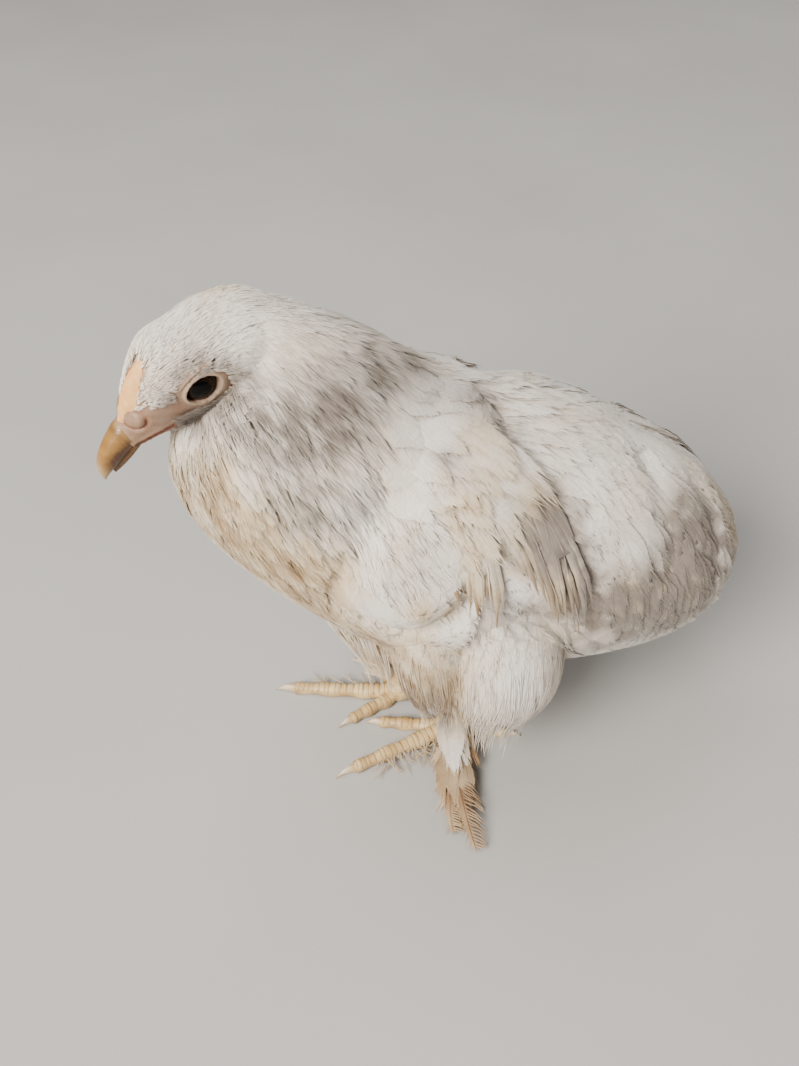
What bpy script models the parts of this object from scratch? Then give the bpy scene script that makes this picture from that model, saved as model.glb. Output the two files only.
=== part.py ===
"""A bantam hen at life size, crouching with her head low and her wings drooped.

The solids hold the outer form of the plumage, with the flight feathers, wing coverts, tail
feathers, leg fluff and foot feathers as vanes of their own. Metres, +Z up, beak towards -Y,
the hen's left side towards +X. Places in the tables are millimetres from the floor point
between her feet; the finished hen is moved so that her box is centred on the origin.
"""

import math

import bmesh
import bpy
import numpy as np
from mathutils import Matrix, Vector

MM = 0.001
GAP = 0.3  # between parts that touch
CLEAR = 0.345  # where faceted curves face each other
MERGE = 1e-5  # metres: points closer than this are welded after a Boolean

# Rings down the body from the nape to the end of the rump.
# Top y, top z, bottom y, bottom z, half width.
BODY_RINGS = (
    (-50, 169.5, -64, 148, 5),
    (-45, 173.3, -72, 133, 12),
    (-36, 171.5, -70, 116, 21),
    (-22, 163, -60, 98, 29),
    (-4, 152, -43, 79, 37),
    (14, 144, -20, 60, 43),
    (32, 135, 8, 49, 45.5),
    (50, 126, 36, 43.5, 44),
    (67, 115.5, 60, 42, 40),
    (83, 104, 77, 45, 33),
    (94, 90, 86, 52, 23),
    (99, 78, 92, 60, 12),
)
# Pieces of the body: where each starts and ends, as shares of its length, and its rings.
BODY_PIECES = {"neck": (0.0, 0.235, 9), "torso": (0.235, 0.70, 13), "rump": (0.70, 1.0, 8)}
RUMP_ROUND = 3.0  # how far the middle of the rump's end stands out
RING_SIDES = 26

# Head: a frame between the eyes, turned to her left, nodding down and leaning a little.
HEAD_CENTRE = (1.5, -65.0, 159.6)
HEAD_PITCH, HEAD_YAW, HEAD_ROLL = 31.0, 14.0, 5.0
# Rings along the head: place along its axis, middle height, half width, reach up, reach down.
HEAD_RINGS = (
    (23.0, -3.9, 3.6, 4.1, 4.8),
    (19.5, -3.2, 5.0, 5.8, 6.2),
    (15.0, -2.2, 7.0, 8.4, 8.6),
    (9.5, -1.0, 9.4, 11.2, 11.4),
    (3.5, 0.0, 11.6, 12.8, 13.8),
    (-3.0, -0.4, 13.2, 12.4, 15.0),
    (-10.0, -1.6, 14.8, 12.2, 15.6),
    (-16.5, -3.4, 14.4, 11.6, 14.2),
    (-22.0, -5.2, 11.5, 9.0, 11.0),
    (-26.0, -6.5, 6.0, 5.0, 6.0),
)
HEAD_SIDES = 18
EYE_ALONG, EYE_OUT, EYE_UP = 0.0, 7.6, 0.2
EYE_RADIUS = 5.0
LID_THICKNESS = 1.0
LID_LENGTH, LID_HEIGHT = 8.8, 5.6

# Beak, in the head's frame: along, middle height, half width, reach up, reach down.
UPPER_BEAK = (
    (23.3, -3.8, 3.5, 4.0, 3.4),
    (26.0, -4.6, 3.4, 3.9, 3.4),
    (29.5, -5.8, 2.9, 3.5, 3.1),
    (32.6, -7.2, 2.1, 2.9, 2.6),
    (34.8, -8.8, 1.1, 1.9, 1.8),
    (35.6, -10.4, 0.4, 0.6, 0.6),
)
LOWER_BEAK = (
    (23.3, -7.6, 2.9, 1.8, 1.6),
    (26.0, -8.4, 2.6, 1.8, 1.6),
    (29.5, -9.5, 1.9, 1.6, 1.3),
    (32.2, -10.7, 0.9, 1.1, 0.8),
)
GAPE_BACK, GAPE_FRONT = 9.5, 23.0
GAPE_LEVEL, GAPE_RISE = -5.8, -1.0
GAPE_DEPTH, GAPE_HALF = 1.0, 0.28  # depth and half width of the groove
# Comb, from the bill's root up the forehead.
# Place along, height over the head, half width, lean to her left.
COMB_RINGS = (
    (22.0, 0.5, 1.0, 0.3),
    (19.5, 1.3, 1.5, 0.6),
    (16.5, 1.8, 1.8, 0.9),
    (13.5, 1.5, 1.8, 1.1),
    (10.5, 1.4, 1.6, 1.3),
    (7.5, 0.5, 1.0, 1.4),
)
COMB_ROOT = 1.2  # how deep its root lies before it is cut to the head
EAR_PLACE, EAR_SIZE = (-10.5, 12.6, -6.5), (2.6, 1.2, 3.6)
NOSTRIL_PLACE, NOSTRIL_FLAP = (18.6, 3.7, 0.2), (3.0, 1.1, 1.7)
NOSTRIL_HALF = 0.28  # half width of the slit

# Every feather's vane: thickness, height of its shaft, and depth of its cup as a share of half its width.
VANE_THICK, VANE_SHAFT, VANE_CUP = 0.55, 0.45, 0.10

# Wing, laid on the body: places are shares of the body's length and angles up from the side.
# Its core: share, angle, spread to each side in degrees, depth.
WING_CORE = (
    (0.305, 50, 6, 1.0),
    (0.335, 47, 15, 2.2),
    (0.370, 47, 20, 2.6),
    (0.405, 46, 22, 2.6),
    (0.440, 44, 23, 2.2),
    (0.475, 38, 20, 1.8),
    (0.505, 30, 8, 0.8),
)
FLIGHT_ROOTS = ((0.425, 68), (0.385, 24))
FLIGHT_TIPS = ((0.600, -5), (0.470, 0))
FLIGHT_BOW = ((0.545, 44), (0.430, 12))
FLIGHTS = 7
FLIGHT_WIDTH = 14.5
FLIGHT_HEIGHT, FLIGHT_STEP = 1.55, 1.35  # over the bed: the lowest, and how much the first lies over it
FLIGHT_TILT, COVERT_TILT = -0.10, -0.08
COVERT_TIERS = (
    # Count, roots from and to, tips from and to, width, height of the tips.
    (5, (0.395, 66), (0.365, 32), (0.500, 52), (0.445, 16), 16.0, 3.8),
    (4, (0.335, 60), (0.325, 38), (0.430, 64), (0.385, 30), 17.0, 4.6),
)
COVERT_RISE = 1.8  # how much lower their roots lie
# How far the body sinks under a wing, and swells in front of it: share, degrees, reach of each, depth.
WING_BED = (0.435, 42, 0.165, 62, -3.5)
FLANK_SWELL = (0.400, 4, 0.070, 30, 4.0)

# Tail: two fans laid on the end of the rump. Share where they start and end, spread, width, heights.
TAIL_FANS = (
    (7, 0.80, 0.975, 64, 15.5, 0.9, 7.0),
    (5, 0.72, 0.89, 50, 17.0, 2.0, 4.0),
)
TAIL_DROP = (0, 1, -5)  # how far the feathers' tips droop
# The base that they are fused to: share, depth, and its spread in degrees.
TAIL_BASE = ((0.715, 0.6), (0.76, 1.6), (0.81, 2.4), (0.86, 2.2), (0.90, 0.8))
TAIL_BASE_SPREAD = 62

# Leg fluff: lobes that hang from the belly, as x, y, z, reach sideways, reach along.
LOBES = {
    "left": (
        (
            (20, -6, 104, 7, 8),
            (25, -7, 84, 12, 13),
            (24, -4, 66, 13, 13.5),
            (21, -1, 46, 11, 12),
            (15, 3, 29, 8, 9.5),
            (9, 6, 17, 5, 6),
        ),
        (
            (23, 15, 100, 8, 10),
            (29, 15, 86, 13, 16),
            (31, 16, 68, 14.5, 17.5),
            (31, 16, 52, 14, 16.5),
            (29, 15, 40, 11, 13.5),
            (27, 14, 32, 7, 8),
        ),
    ),
    "right": (
        (
            (-17, -18, 110, 7, 9),
            (-23, -22, 88, 11.5, 15),
            (-24, -19, 64, 12.5, 18),
            (-21, -15, 44, 11, 15),
            (-17, -11, 28, 8, 10),
            (-15, -8, 19, 5, 6),
        ),
        (
            (-23, 4, 100, 8, 10),
            (-29, 4, 86, 13, 16),
            (-31, 4, 68, 14, 18),
            (-30, 4, 52, 13, 16),
            (-28, 3, 40, 10, 12.5),
            (-26, 2, 33, 6.5, 7.5),
        ),
    ),
}
LOBE_SIDES = 12
FRINGE_COUNT, FRINGE_LENGTH, FRINGE_WIDTH = 7, 15.0, 9.0
FRINGE_CLEAR = 8.5  # the fluff hangs no lower than this, clear of the toes

# Feet: the joint where the toes meet, then each toe's tip, and the hock that the shank rises to.
FEET = {
    "left": {
        "joint": (6.2, 7.9),
        "hock": (19.0, 25.0, 40.0),
        "toes": {
            "inner": (-3.0, -14.8),
            "middle": (14.2, -28.2),
            "outer": (38.0, 1.5),
            "hind": (13.0, 26.5),
        },
    },
    "right": {
        "joint": (-13.6, -4.9),
        "hock": (-22.0, 15.0, 40.0),
        "toes": {
            "inner": (-7.0, -24.5),
            "middle": (-26.4, -41.0),
            "outer": (-40.0, -10.0),
            "hind": (-17.5, 15.0),
        },
    },
}
TOE_RADIUS = {"inner": (3.1, 2.2), "middle": (3.4, 2.4), "outer": (3.2, 2.3), "hind": (2.6, 1.9)}
CLAW_LENGTH = {"inner": 5.2, "middle": 7.2, "outer": 6.0, "hind": 5.0}
JOINT_HEIGHT = 5.4
SOLE_DEPTH = 0.5  # how far each toe's round underside is cut off flat
SHANK_RADIUS = 3.7
FOOT_BALL = 5.3
# Tiers of toe feathers: count, root along the toe, length, fan in degrees, rise, width.
FOOT_TIERS = {
    "left": (
        (3, 0.20, 20.0, 17.0, 5.0, 7.0),
        (3, 0.50, 22.0, 16.0, 2.4, 7.0),
        (3, 0.86, 21.0, 13.0, 1.2, 6.0),
    ),
    "right": ((3, 0.25, 18.0, 17.0, 3.5, 6.5), (3, 0.75, 15.0, 15.0, 1.2, 6.0)),
}

# Colour and roughness of each material.
COLOURS = {
    "plumage": ((0.86, 0.82, 0.76), 0.75),
    "skin": ((0.85, 0.62, 0.50), 0.55),
    "beak": ((0.80, 0.62, 0.33), 0.40),
    "scale": ((0.80, 0.66, 0.42), 0.50),
    "claw": ((0.78, 0.70, 0.58), 0.35),
    "eye": ((0.02, 0.015, 0.01), 0.08),
}


def clear_scene():
    for obj in list(bpy.data.objects):
        bpy.data.objects.remove(obj)


def material(kind):
    """A plain material, made once for each kind of surface."""
    found = bpy.data.materials.get(kind)
    if found:
        return found
    colour, roughness = COLOURS[kind]
    made = bpy.data.materials.new(kind)
    made.use_nodes = True
    shader = made.node_tree.nodes["Principled BSDF"]
    shader.inputs["Base Color"].default_value = (*colour, 1)
    shader.inputs["Roughness"].default_value = roughness
    shader.inputs["Metallic"].default_value = 0.0
    return made


def between(rows, share):
    """A row part of the way along a table, on a smooth curve through its rows."""
    rows = np.asarray(rows, float)
    last = len(rows) - 1
    place = min(max(share, 0.0), 1.0) * last
    i = min(int(place), last - 1)
    f = place - i
    a, b, c, d = rows[max(i - 1, 0)], rows[i], rows[i + 1], rows[min(i + 2, last)]
    square, cube = 2 * a - 5 * b + 4 * c - d, 3 * b - 3 * c + d - a
    return 0.5 * (2 * b + (c - a) * f + square * f**2 + cube * f**3)


def body_point(share, degrees, height=0.0):
    """A point on the body, or above it: 90 degrees is the back and 0 her left side."""
    top_y, top_z, low_y, low_z, half = between(BODY_RINGS, share)
    top, low = np.array((0, top_y, top_z)), np.array((0, low_y, low_z))
    up = (top - low) / 2
    reach = np.linalg.norm(up)
    turn = math.radians(degrees)
    rise = up / reach * (reach + height) * math.sin(turn)
    side = np.array((half + height, 0, 0)) * math.cos(turn)
    return (top + low) / 2 + rise + side


def relief(share, degrees, *shapes):
    """How far the surface sinks under the wings, or swells along the flanks, alike on both sides."""
    turn = (degrees + 90) % 360 - 90
    turn = 180 - turn if turn > 90 else turn
    total = 0.0
    for middle, angle, reach, spread, depth in shapes:
        away = math.hypot((share - middle) / reach, (turn - angle) / spread)
        f = min(max((1 - away) * 2, 0.0), 1.0)
        total += depth * f * f * (3 - 2 * f)
    return total


def wing_point(share, degrees, height):
    """A point of a wing, at a height over the bed that it lies in."""
    return body_point(share, degrees, height + relief(share, degrees, WING_BED))


def head_axes():
    """Forward, left and up along the head, as it is turned, nodding and leaning."""
    pitch, yaw, roll = map(math.radians, (HEAD_PITCH, HEAD_YAW, HEAD_ROLL))
    flat = math.cos(pitch)
    forward = np.array((math.sin(yaw) * flat, -math.cos(yaw) * flat, -math.sin(pitch)))
    left = np.array((math.cos(yaw), math.sin(yaw), 0))
    up = np.cross(forward, left)
    leaning_up = up * math.cos(roll) + left * math.sin(roll)
    leaning_left = left * math.cos(roll) - up * math.sin(roll)
    return forward, leaning_left, leaning_up


def head_point(along, out, up):
    """A point from its places along the head, out to her left and up."""
    forward, left, upward = head_axes()
    return np.array(HEAD_CENTRE) + forward * along + left * out + upward * up


def new_object(name, points, faces, kind):
    """A closed mesh from points in millimetres, with its faces turned outwards."""
    mesh = bpy.data.meshes.new(name)
    mesh.from_pydata([Vector(p) * MM for p in points], [], faces)
    shaped = bmesh.new()
    shaped.from_mesh(mesh)
    bmesh.ops.recalc_face_normals(shaped, faces=shaped.faces)
    shaped.to_mesh(mesh)
    shaped.free()
    obj = bpy.data.objects.new(name, mesh)
    bpy.context.scene.collection.objects.link(obj)
    obj.data.materials.append(material(kind))
    return obj


def skin_of_rings(name, rings, kind):
    """A tube through rings of points, closed by a flat face at each end."""
    count = len(rings[0])
    points = [p for ring in rings for p in ring]
    faces = []
    for i in range(len(rings) - 1):
        for j in range(count):
            k = (j + 1) % count
            near, far = i * count, (i + 1) * count
            faces += [(near + j, near + k, far + k), (near + j, far + k, far + j)]
    faces.append(tuple(range(count)))
    faces.append(tuple(range((len(rings) - 1) * count, len(rings) * count)))
    return new_object(name, points, faces, kind)


def body_piece(piece, name=None, grow=0.0):
    """The neck, torso or rump: a length of the body cut square to its line."""
    start, end, rings = BODY_PIECES[piece]
    if piece != "rump":
        end -= gap_as_share(end)
    turns = np.linspace(0, 360, RING_SIDES, endpoint=False)
    made = [
        [body_point(share, turn, grow + relief(share, turn, WING_BED, FLANK_SWELL)) for turn in turns]
        for share in np.linspace(start, end, rings)
    ]
    if piece == "rump":
        middle = sum(made[-1]) / len(made[-1])
        made.append([middle + (p - middle) * 0.5 + np.array((0, RUMP_ROUND, 0)) for p in made[-1]])
    return skin_of_rings(name or piece, made, "plumage")


def clear_of_body(obj, *pieces):
    """Cuts an object back to a gap from the body under it."""
    for piece in pieces:
        boolean(obj, [body_piece(piece, "body_gap", CLEAR)], "DIFFERENCE", "MANIFOLD")


def gap_as_share(share):
    """The gap between touching parts, as a share of the body's length at that place."""
    step = 0.002
    ends = [body_point(share + side * step, 0) for side in (-1, 1)]
    middles = [np.array((0, *p[1:])) for p in ends]
    return GAP * 2 * step / np.linalg.norm(middles[1] - middles[0])


def oval_ring(place, centre_up, half, up, down, sides, power=1.0):
    """A ring round the head's axis, squarer where power is under 1."""
    ring = []
    for k in range(sides):
        turn = 2 * math.pi * k / sides
        c, s = math.cos(turn), math.sin(turn)
        out = half * math.copysign(abs(c) ** power, c)
        rise = (up if s > 0 else down) * math.copysign(abs(s) ** power, s)
        ring.append(head_point(place, out, centre_up + rise))
    return ring


def ball(name, centre, radius, kind, segments=16, rings=10):
    mesh = bpy.data.meshes.new(name)
    shaped = bmesh.new()
    bmesh.ops.create_uvsphere(shaped, u_segments=segments, v_segments=rings, radius=radius * MM)
    bmesh.ops.translate(shaped, verts=shaped.verts, vec=Vector(centre) * MM)
    shaped.to_mesh(mesh)
    shaped.free()
    obj = bpy.data.objects.new(name, mesh)
    bpy.context.scene.collection.objects.link(obj)
    obj.data.materials.append(material(kind))
    return obj


def boolean(obj, others, operation, solver="EXACT", keep=True):
    """Fuses or cuts an object with closed meshes, which are then removed."""
    group = bpy.data.collections.new("group")
    for other in others:
        group.objects.link(other)
    modifier = obj.modifiers.new(operation.lower(), "BOOLEAN")
    modifier.operation = operation
    modifier.solver = solver
    modifier.operand_type = "COLLECTION"
    modifier.collection = group
    graph = bpy.context.evaluated_depsgraph_get()
    graph.update()
    mesh = bpy.data.meshes.new_from_object(obj.evaluated_get(graph))
    obj.modifiers.clear()
    obj.data = mesh
    for other in others:
        bpy.data.objects.remove(other)
    bpy.data.collections.remove(group)
    if keep:
        keep_largest(obj)
    return obj


def keep_largest(obj):
    """Leaves only the closed surface that holds the most volume."""
    shaped = bmesh.new()
    shaped.from_mesh(obj.data)
    bmesh.ops.remove_doubles(shaped, verts=shaped.verts, dist=MERGE)
    bmesh.ops.triangulate(shaped, faces=shaped.faces)
    left, shells = set(shaped.faces), []
    while left:
        stack = [left.pop()]
        shell = set(stack)
        while stack:
            for edge in stack.pop().edges:
                for face in edge.link_faces:
                    if face in left:
                        left.discard(face)
                        shell.add(face)
                        stack.append(face)
        corners = [[v.co for v in face.verts] for face in shell]
        shells.append((sum(a.dot(b.cross(c)) / 6 for a, b, c in corners), shell))
    best = max(shells, key=lambda item: item[0])[1]
    bmesh.ops.delete(shaped, geom=[f for f in shaped.faces if f not in best], context="FACES")
    loose = [v for v in shaped.verts if not v.link_faces]
    bmesh.ops.delete(shaped, geom=loose, context="VERTS")
    shaped.to_mesh(obj.data)
    shaped.free()


def vane(name, path, outs, widths):
    """A feather: a thin cupped blade along path with a raised shaft, its outer side towards outs."""
    path = [np.asarray(p, float) for p in path]
    rings = []
    for i, centre in enumerate(path):
        ahead = path[min(i + 1, len(path) - 1)] - path[max(i - 1, 0)]
        ahead /= np.linalg.norm(ahead)
        side = np.cross(ahead, outs[i])
        side /= np.linalg.norm(side)
        out = np.cross(side, ahead)
        half = widths[i] / 2
        drop = out * VANE_CUP * half
        thin = VANE_THICK * (0.62 if i == len(path) - 1 else 1.0)
        shaft = VANE_SHAFT * (1 - i / (len(path) - 1))
        rings.append([
            centre - side * half - drop,
            centre + out * shaft,
            centre + side * half - drop,
            centre + side * half - drop - out * thin,
            centre - out * thin,
            centre - side * half - drop - out * thin,
        ])
    points = [p for ring in rings for p in ring]
    faces = []
    for i in range(len(rings) - 1):
        a, b = 6 * i, 6 * (i + 1)
        # The same diagonal on both faces of the blade, so that they never cross.
        faces += [(a, a + 1, b + 1), (a, b + 1, b), (a + 2, b + 1, a + 1), (a + 2, b + 2, b + 1)]
        faces += [(a + 5, b + 4, a + 4), (a + 5, b + 5, b + 4)]
        faces += [(a + 3, a + 4, b + 4), (a + 3, b + 4, b + 3)]
        faces += [(a + 2, a + 3, b + 3), (a + 2, b + 3, b + 2), (a + 5, a, b), (a + 5, b, b + 5)]
    faces += [(0, 4, 1), (0, 5, 4), (1, 4, 2), (2, 4, 3)]
    e = 6 * (len(rings) - 1)
    faces += [(e, e + 1, e + 4), (e, e + 4, e + 5), (e + 1, e + 2, e + 4), (e + 2, e + 3, e + 4)]
    return new_object(name, points, faces, "plumage")


def lock(name, path, outs, widths, thick):
    """A tapered tuft with a lens-shaped section."""
    rings = []
    for i, centre in enumerate(path):
        ahead = path[min(i + 1, len(path) - 1)] - path[max(i - 1, 0)]
        side = np.cross(ahead, outs[i])
        side /= np.linalg.norm(side)
        out = np.cross(side, ahead) / np.linalg.norm(ahead)
        deep = thick * (1 - 0.55 * i / (len(path) - 1))
        half = widths[i] / 2
        edge, face = side * half, out * deep
        rings.append([centre - edge, centre + face, centre + edge, centre - face])
    return skin_of_rings(name, rings, "plumage")


def blend(a, b, f):
    """Part of the way from one point or row to another."""
    return np.asarray(a, float) * (1 - f) + np.asarray(b, float) * f


def laid_vane(name, start, bow, end, heights, width, tilt, shape, mirror):
    """A feather laid on the body along a bowed path between two (share, angle) ends.

    shape gives its width at each step; tilt lifts one edge, so that it lies over the next one.
    """
    steps = len(shape) - 1
    path, outs = [], []
    for i in range(steps + 1):
        f = i / steps
        share, angle = blend(blend(start, bow, f), blend(bow, end, f), f)
        height = heights[0] + (heights[1] - heights[0]) * f
        here = wing_point(share, angle, height)
        out = wing_point(share, angle, height + 1) - here
        path.append(here * np.array((mirror, 1, 1)))
        outs.append(out * np.array((mirror, 1, 1)))
    for i in range(steps + 1):
        ahead = path[min(i + 1, steps)] - path[max(i - 1, 0)]
        side = np.cross(ahead / np.linalg.norm(ahead), outs[i])
        outs[i] = outs[i] + side * tilt * mirror
    return vane(name, path, outs, [width * s for s in shape])


def eye_place(side):
    return head_point(EYE_ALONG, side * EYE_OUT, EYE_UP)


def make_head():
    """The head with its lids, ear lobes and nostrils, and the line of the closed mouth."""
    rings = [oval_ring(*row, HEAD_SIDES) for row in HEAD_RINGS]
    head = skin_of_rings("head", rings, "plumage")
    added = []
    for s in (-1, 1):
        added.append(ball("lid", eye_place(s), EYE_RADIUS + GAP + LID_THICKNESS, "skin", 14, 8))
        added.append(bulge("lobe", EAR_PLACE, s, EAR_SIZE))
        added.append(bulge("flap", NOSTRIL_PLACE, s, NOSTRIL_FLAP))
    boolean(head, added, "UNION")
    taken = [gape_cutter()]
    for s in (-1, 1):
        # The lids open before the socket is cut, so that no hollow is sealed.
        taken += [nostril_cutter(s), almond_cutter(s)]
        taken.append(ball("socket", eye_place(s), EYE_RADIUS + GAP, "skin", 12, 8))
    for cutter in taken:
        boolean(head, [cutter], "DIFFERENCE")


def bulge(name, place, side, size):
    """A rounded swelling on the side of the face, sized along, out and up."""
    obj = ball(name, (0, 0, 0), 1.0, "skin", 10, 6)
    along, out, up = size
    forward, left, upward = (Vector(axis) for axis in head_axes())
    centre = Vector(head_point(place[0], side * place[1], place[2])) * MM
    for vert in obj.data.vertices:
        v = vert.co.copy()
        vert.co = centre + forward * v.x * along + left * v.y * out + upward * v.z * up
    return obj


def nostril_cutter(side):
    """The slit below the nostril's flap."""
    along, out, up = NOSTRIL_PLACE
    size_along, size_out, size_up = NOSTRIL_FLAP
    rings = []
    for f in np.linspace(-0.8, 0.95, 5):
        rise = up - size_up * 1.02 * math.sqrt(1 - f * f * 0.75)
        rings.append([
            head_point(along + f * size_along, side * (out + o), rise + u)
            for o, u in slot_corners(-0.6, 3.0, NOSTRIL_HALF)
        ])
    return skin_of_rings("slit", rings, "skin")


def almond_cutter(side):
    """The gap between the lids: two arcs that meet at the corners of the eye."""
    outline = []
    steps = 6
    for k in range(2 * steps):
        turn = math.pi * k / steps
        along = LID_LENGTH / 2 * math.cos(turn)
        rise = LID_HEIGHT / 2 * math.copysign(abs(math.sin(turn)) ** 1.15, math.sin(turn))
        outline.append((along, rise))
    rings = [
        [head_point(EYE_ALONG + a * grow, side * out, EYE_UP + b * grow) for a, b in outline]
        for out, grow in ((EYE_OUT + 1.0, 0.9), (EYE_OUT + EYE_RADIUS + 6, 1.12))
    ]
    return skin_of_rings("opening", rings, "skin")


def slot_corners(inner, outer, half):
    """The corners of a flat slot's section, as places out and up."""
    return (inner, -half), (outer, -half), (outer, half), (inner, half)


def gape_cutter():
    """The line of the closed mouth behind the horny bill: a groove that wraps round the face."""
    rings = []
    for along in np.linspace(GAPE_BACK, GAPE_FRONT + 2, 5):
        level = GAPE_LEVEL + GAPE_RISE * (along - GAPE_BACK) / (GAPE_FRONT - GAPE_BACK)
        corners = slot_corners(-14, 14, GAPE_HALF)
        rings.append([head_point(along, out, level + up) for out, up in corners])
    slot = skin_of_rings("slot", rings, "skin")
    rows = [(row[0], row[1], max(row[2] - GAPE_DEPTH, 0.8), *row[3:]) for row in HEAD_RINGS[:6]]
    rows.insert(0, (GAPE_FRONT + 4, *rows[0][1:]))
    core = skin_of_rings("core", [oval_ring(*row, 12) for row in rows], "skin")
    return boolean(slot, [core], "DIFFERENCE", keep=False)


def make_beaks():
    """The horny bill in two halves, with a gap where they meet."""
    skin_of_rings("beak_upper", [oval_ring(*row, 12, 0.85) for row in UPPER_BEAK], "beak")
    lower = skin_of_rings("beak_lower", [oval_ring(*row, 10, 0.9) for row in LOWER_BEAK], "beak")
    grown = [oval_ring(row[0], *grown_row(row), 12, 0.85) for row in UPPER_BEAK]
    grown.insert(0, oval_ring(UPPER_BEAK[0][0] - 2, *grown_row(UPPER_BEAK[0]), 12, 0.85))
    boolean(lower, [skin_of_rings("cut", grown, "beak")], "DIFFERENCE")


def grown_row(row):
    """A head or beak ring's sizes, larger by the gap."""
    return row[1], row[2] + GAP, row[3] + GAP, row[4] + GAP


def grown_head():
    """The head's form, larger by the gap, to cut what lies against it."""
    rings = [oval_ring(row[0], *grown_row(row), HEAD_SIDES) for row in HEAD_RINGS]
    rings.append(oval_ring(HEAD_RINGS[-1][0] - GAP, *grown_row(HEAD_RINGS[-1]), HEAD_SIDES))
    return skin_of_rings("skull", rings, "plumage")


def make_comb():
    """The low ridge of a young hen's comb, from the bill's root up the forehead."""
    rings = []
    for along, lift, half, lean in COMB_RINGS:
        top = between([(row[1] + row[3],) for row in HEAD_RINGS], head_share(along))[0]
        rings.append([
            head_point(along, lean + out * half, top + rise)
            for out, rise in (
                (0, lift), (-0.75, lift * 0.55), (-1.0, -COMB_ROOT), (1.0, -COMB_ROOT), (0.75, lift * 0.55)
            )
        ])
    comb = skin_of_rings("comb", rings, "skin")
    boolean(comb, [grown_head()], "DIFFERENCE")


def head_share(along):
    """The share of the head's table at a place along its axis."""
    places = [row[0] for row in HEAD_RINGS]
    return float(np.interp(-along, [-p for p in places], np.linspace(0, 1, len(places))))


def make_neck():
    """The neck, hollowed where the head rests in it."""
    neck = body_piece("neck")
    cutters = [grown_head()]
    for s in (-1, 1):
        cutters.append(ball("lid", eye_place(s), EYE_RADIUS + 2 * GAP + LID_THICKNESS, "skin", 12, 8))
        cutters.append(bulge("lobe", EAR_PLACE, s, [size + GAP for size in EAR_SIZE]))
    for cutter in cutters:
        boolean(neck, [cutter], "DIFFERENCE")


def make_wing(side, mirror):
    """A folded wing: a smooth core under seven flight feathers and two tiers of coverts."""
    flip = np.array((mirror, 1, 1))
    rings = []
    across = np.linspace(-1, 1, 8)
    for share, angle, spread, depth in WING_CORE:
        outer = [wing_point(share, angle + v * spread, 1.0 + depth * math.sqrt(1 - v * v)) for v in across]
        inner = [wing_point(share, angle + v * spread, 0.0) for v in across[::-1]]
        rings.append([p * flip for p in outer + inner])
    wing = skin_of_rings(f"wing_{side}", rings, "plumage")
    vanes = []
    for k in range(FLIGHTS):
        f = k / (FLIGHTS - 1)
        root, bow, tip = blend(*FLIGHT_ROOTS, f), blend(*FLIGHT_BOW, f), blend(*FLIGHT_TIPS, f)
        height = FLIGHT_HEIGHT + FLIGHT_STEP * (1 - f)
        heights, shape = (height + 0.1, height), (0.45, 0.85, 1.0, 0.95, 0.42)
        vanes.append(laid_vane("flight", root, bow, tip, heights, FLIGHT_WIDTH, FLIGHT_TILT, shape, mirror))
    for count, root_a, root_b, tip_a, tip_b, width, height in COVERT_TIERS:
        for k in range(count):
            f = k / (count - 1)
            root, tip = blend(root_a, root_b, f), blend(tip_a, tip_b, f)
            bow = blend(root, tip, 0.5) + np.array((0.006, 3))
            heights, shape = (height - COVERT_RISE, height), (0.5, 1.0, 0.92, 0.4)
            vanes.append(laid_vane("covert", root, bow, tip, heights, width, COVERT_TILT, shape, mirror))
    boolean(wing, vanes, "UNION", "MANIFOLD")
    clear_of_body(wing, "neck", "torso")


def make_tail():
    """The tail: two fans of feathers fused to a base that lies on the rump."""
    vanes = []
    for count, start, end, spread, width, low, high in TAIL_FANS:
        for k in range(count):
            f = 2 * k / (count - 1) - 1
            path, outs = [], []
            for i in range(4):
                g = i / 3
                turn = 90 - spread * f * (0.72 + 0.28 * g)
                share = start + (end - start) * g
                height = low + (high - low) * g + 0.5 * abs(f)
                here = body_point(share, turn, height)
                outs.append(body_point(share, turn, height + 1) - here)
                path.append(here + np.array(TAIL_DROP) * g**3)
            shape = (0.55, 1.0, 1.0, 0.45)
            vanes.append(vane("tail_feather", path, outs, [width * w for w in shape]))
    turns = np.linspace(90 - TAIL_BASE_SPREAD, 90 + TAIL_BASE_SPREAD, 8)
    rings = []
    for share, depth in TAIL_BASE:
        outer = [body_point(share, turn, 0.6 + depth) for turn in turns]
        inner = [body_point(share, turn, 0.0) for turn in turns[::-1]]
        rings.append(outer + inner)
    tail = skin_of_rings("tail", rings, "plumage")
    boolean(tail, vanes, "UNION", "MANIFOLD")
    clear_of_body(tail, "torso", "rump")


def make_leg(side, lobes, foot):
    """The fluff over one thigh: lobes with a fringe of soft tapered locks along the hem."""
    pieces = []
    for lobe in lobes:
        rings = []
        for x, y, z, across, along in lobe:
            rings.append([
                np.array((x + across * math.cos(a), y + along * math.sin(a), z))
                for a in np.linspace(0, 2 * math.pi, LOBE_SIDES, endpoint=False)
            ])
        pieces.append(skin_of_rings(f"thigh_{side}", rings, "plumage"))
        pieces += fringe(lobe)
    thigh = pieces.pop(0)
    boolean(thigh, pieces, "UNION", "MANIFOLD")
    clear_of_body(thigh, "neck", "torso")
    for cutter in (shank_shape("shank_gap", foot, GAP), box_below(FRINGE_CLEAR)):
        boolean(thigh, [cutter], "DIFFERENCE", "MANIFOLD")


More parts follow.
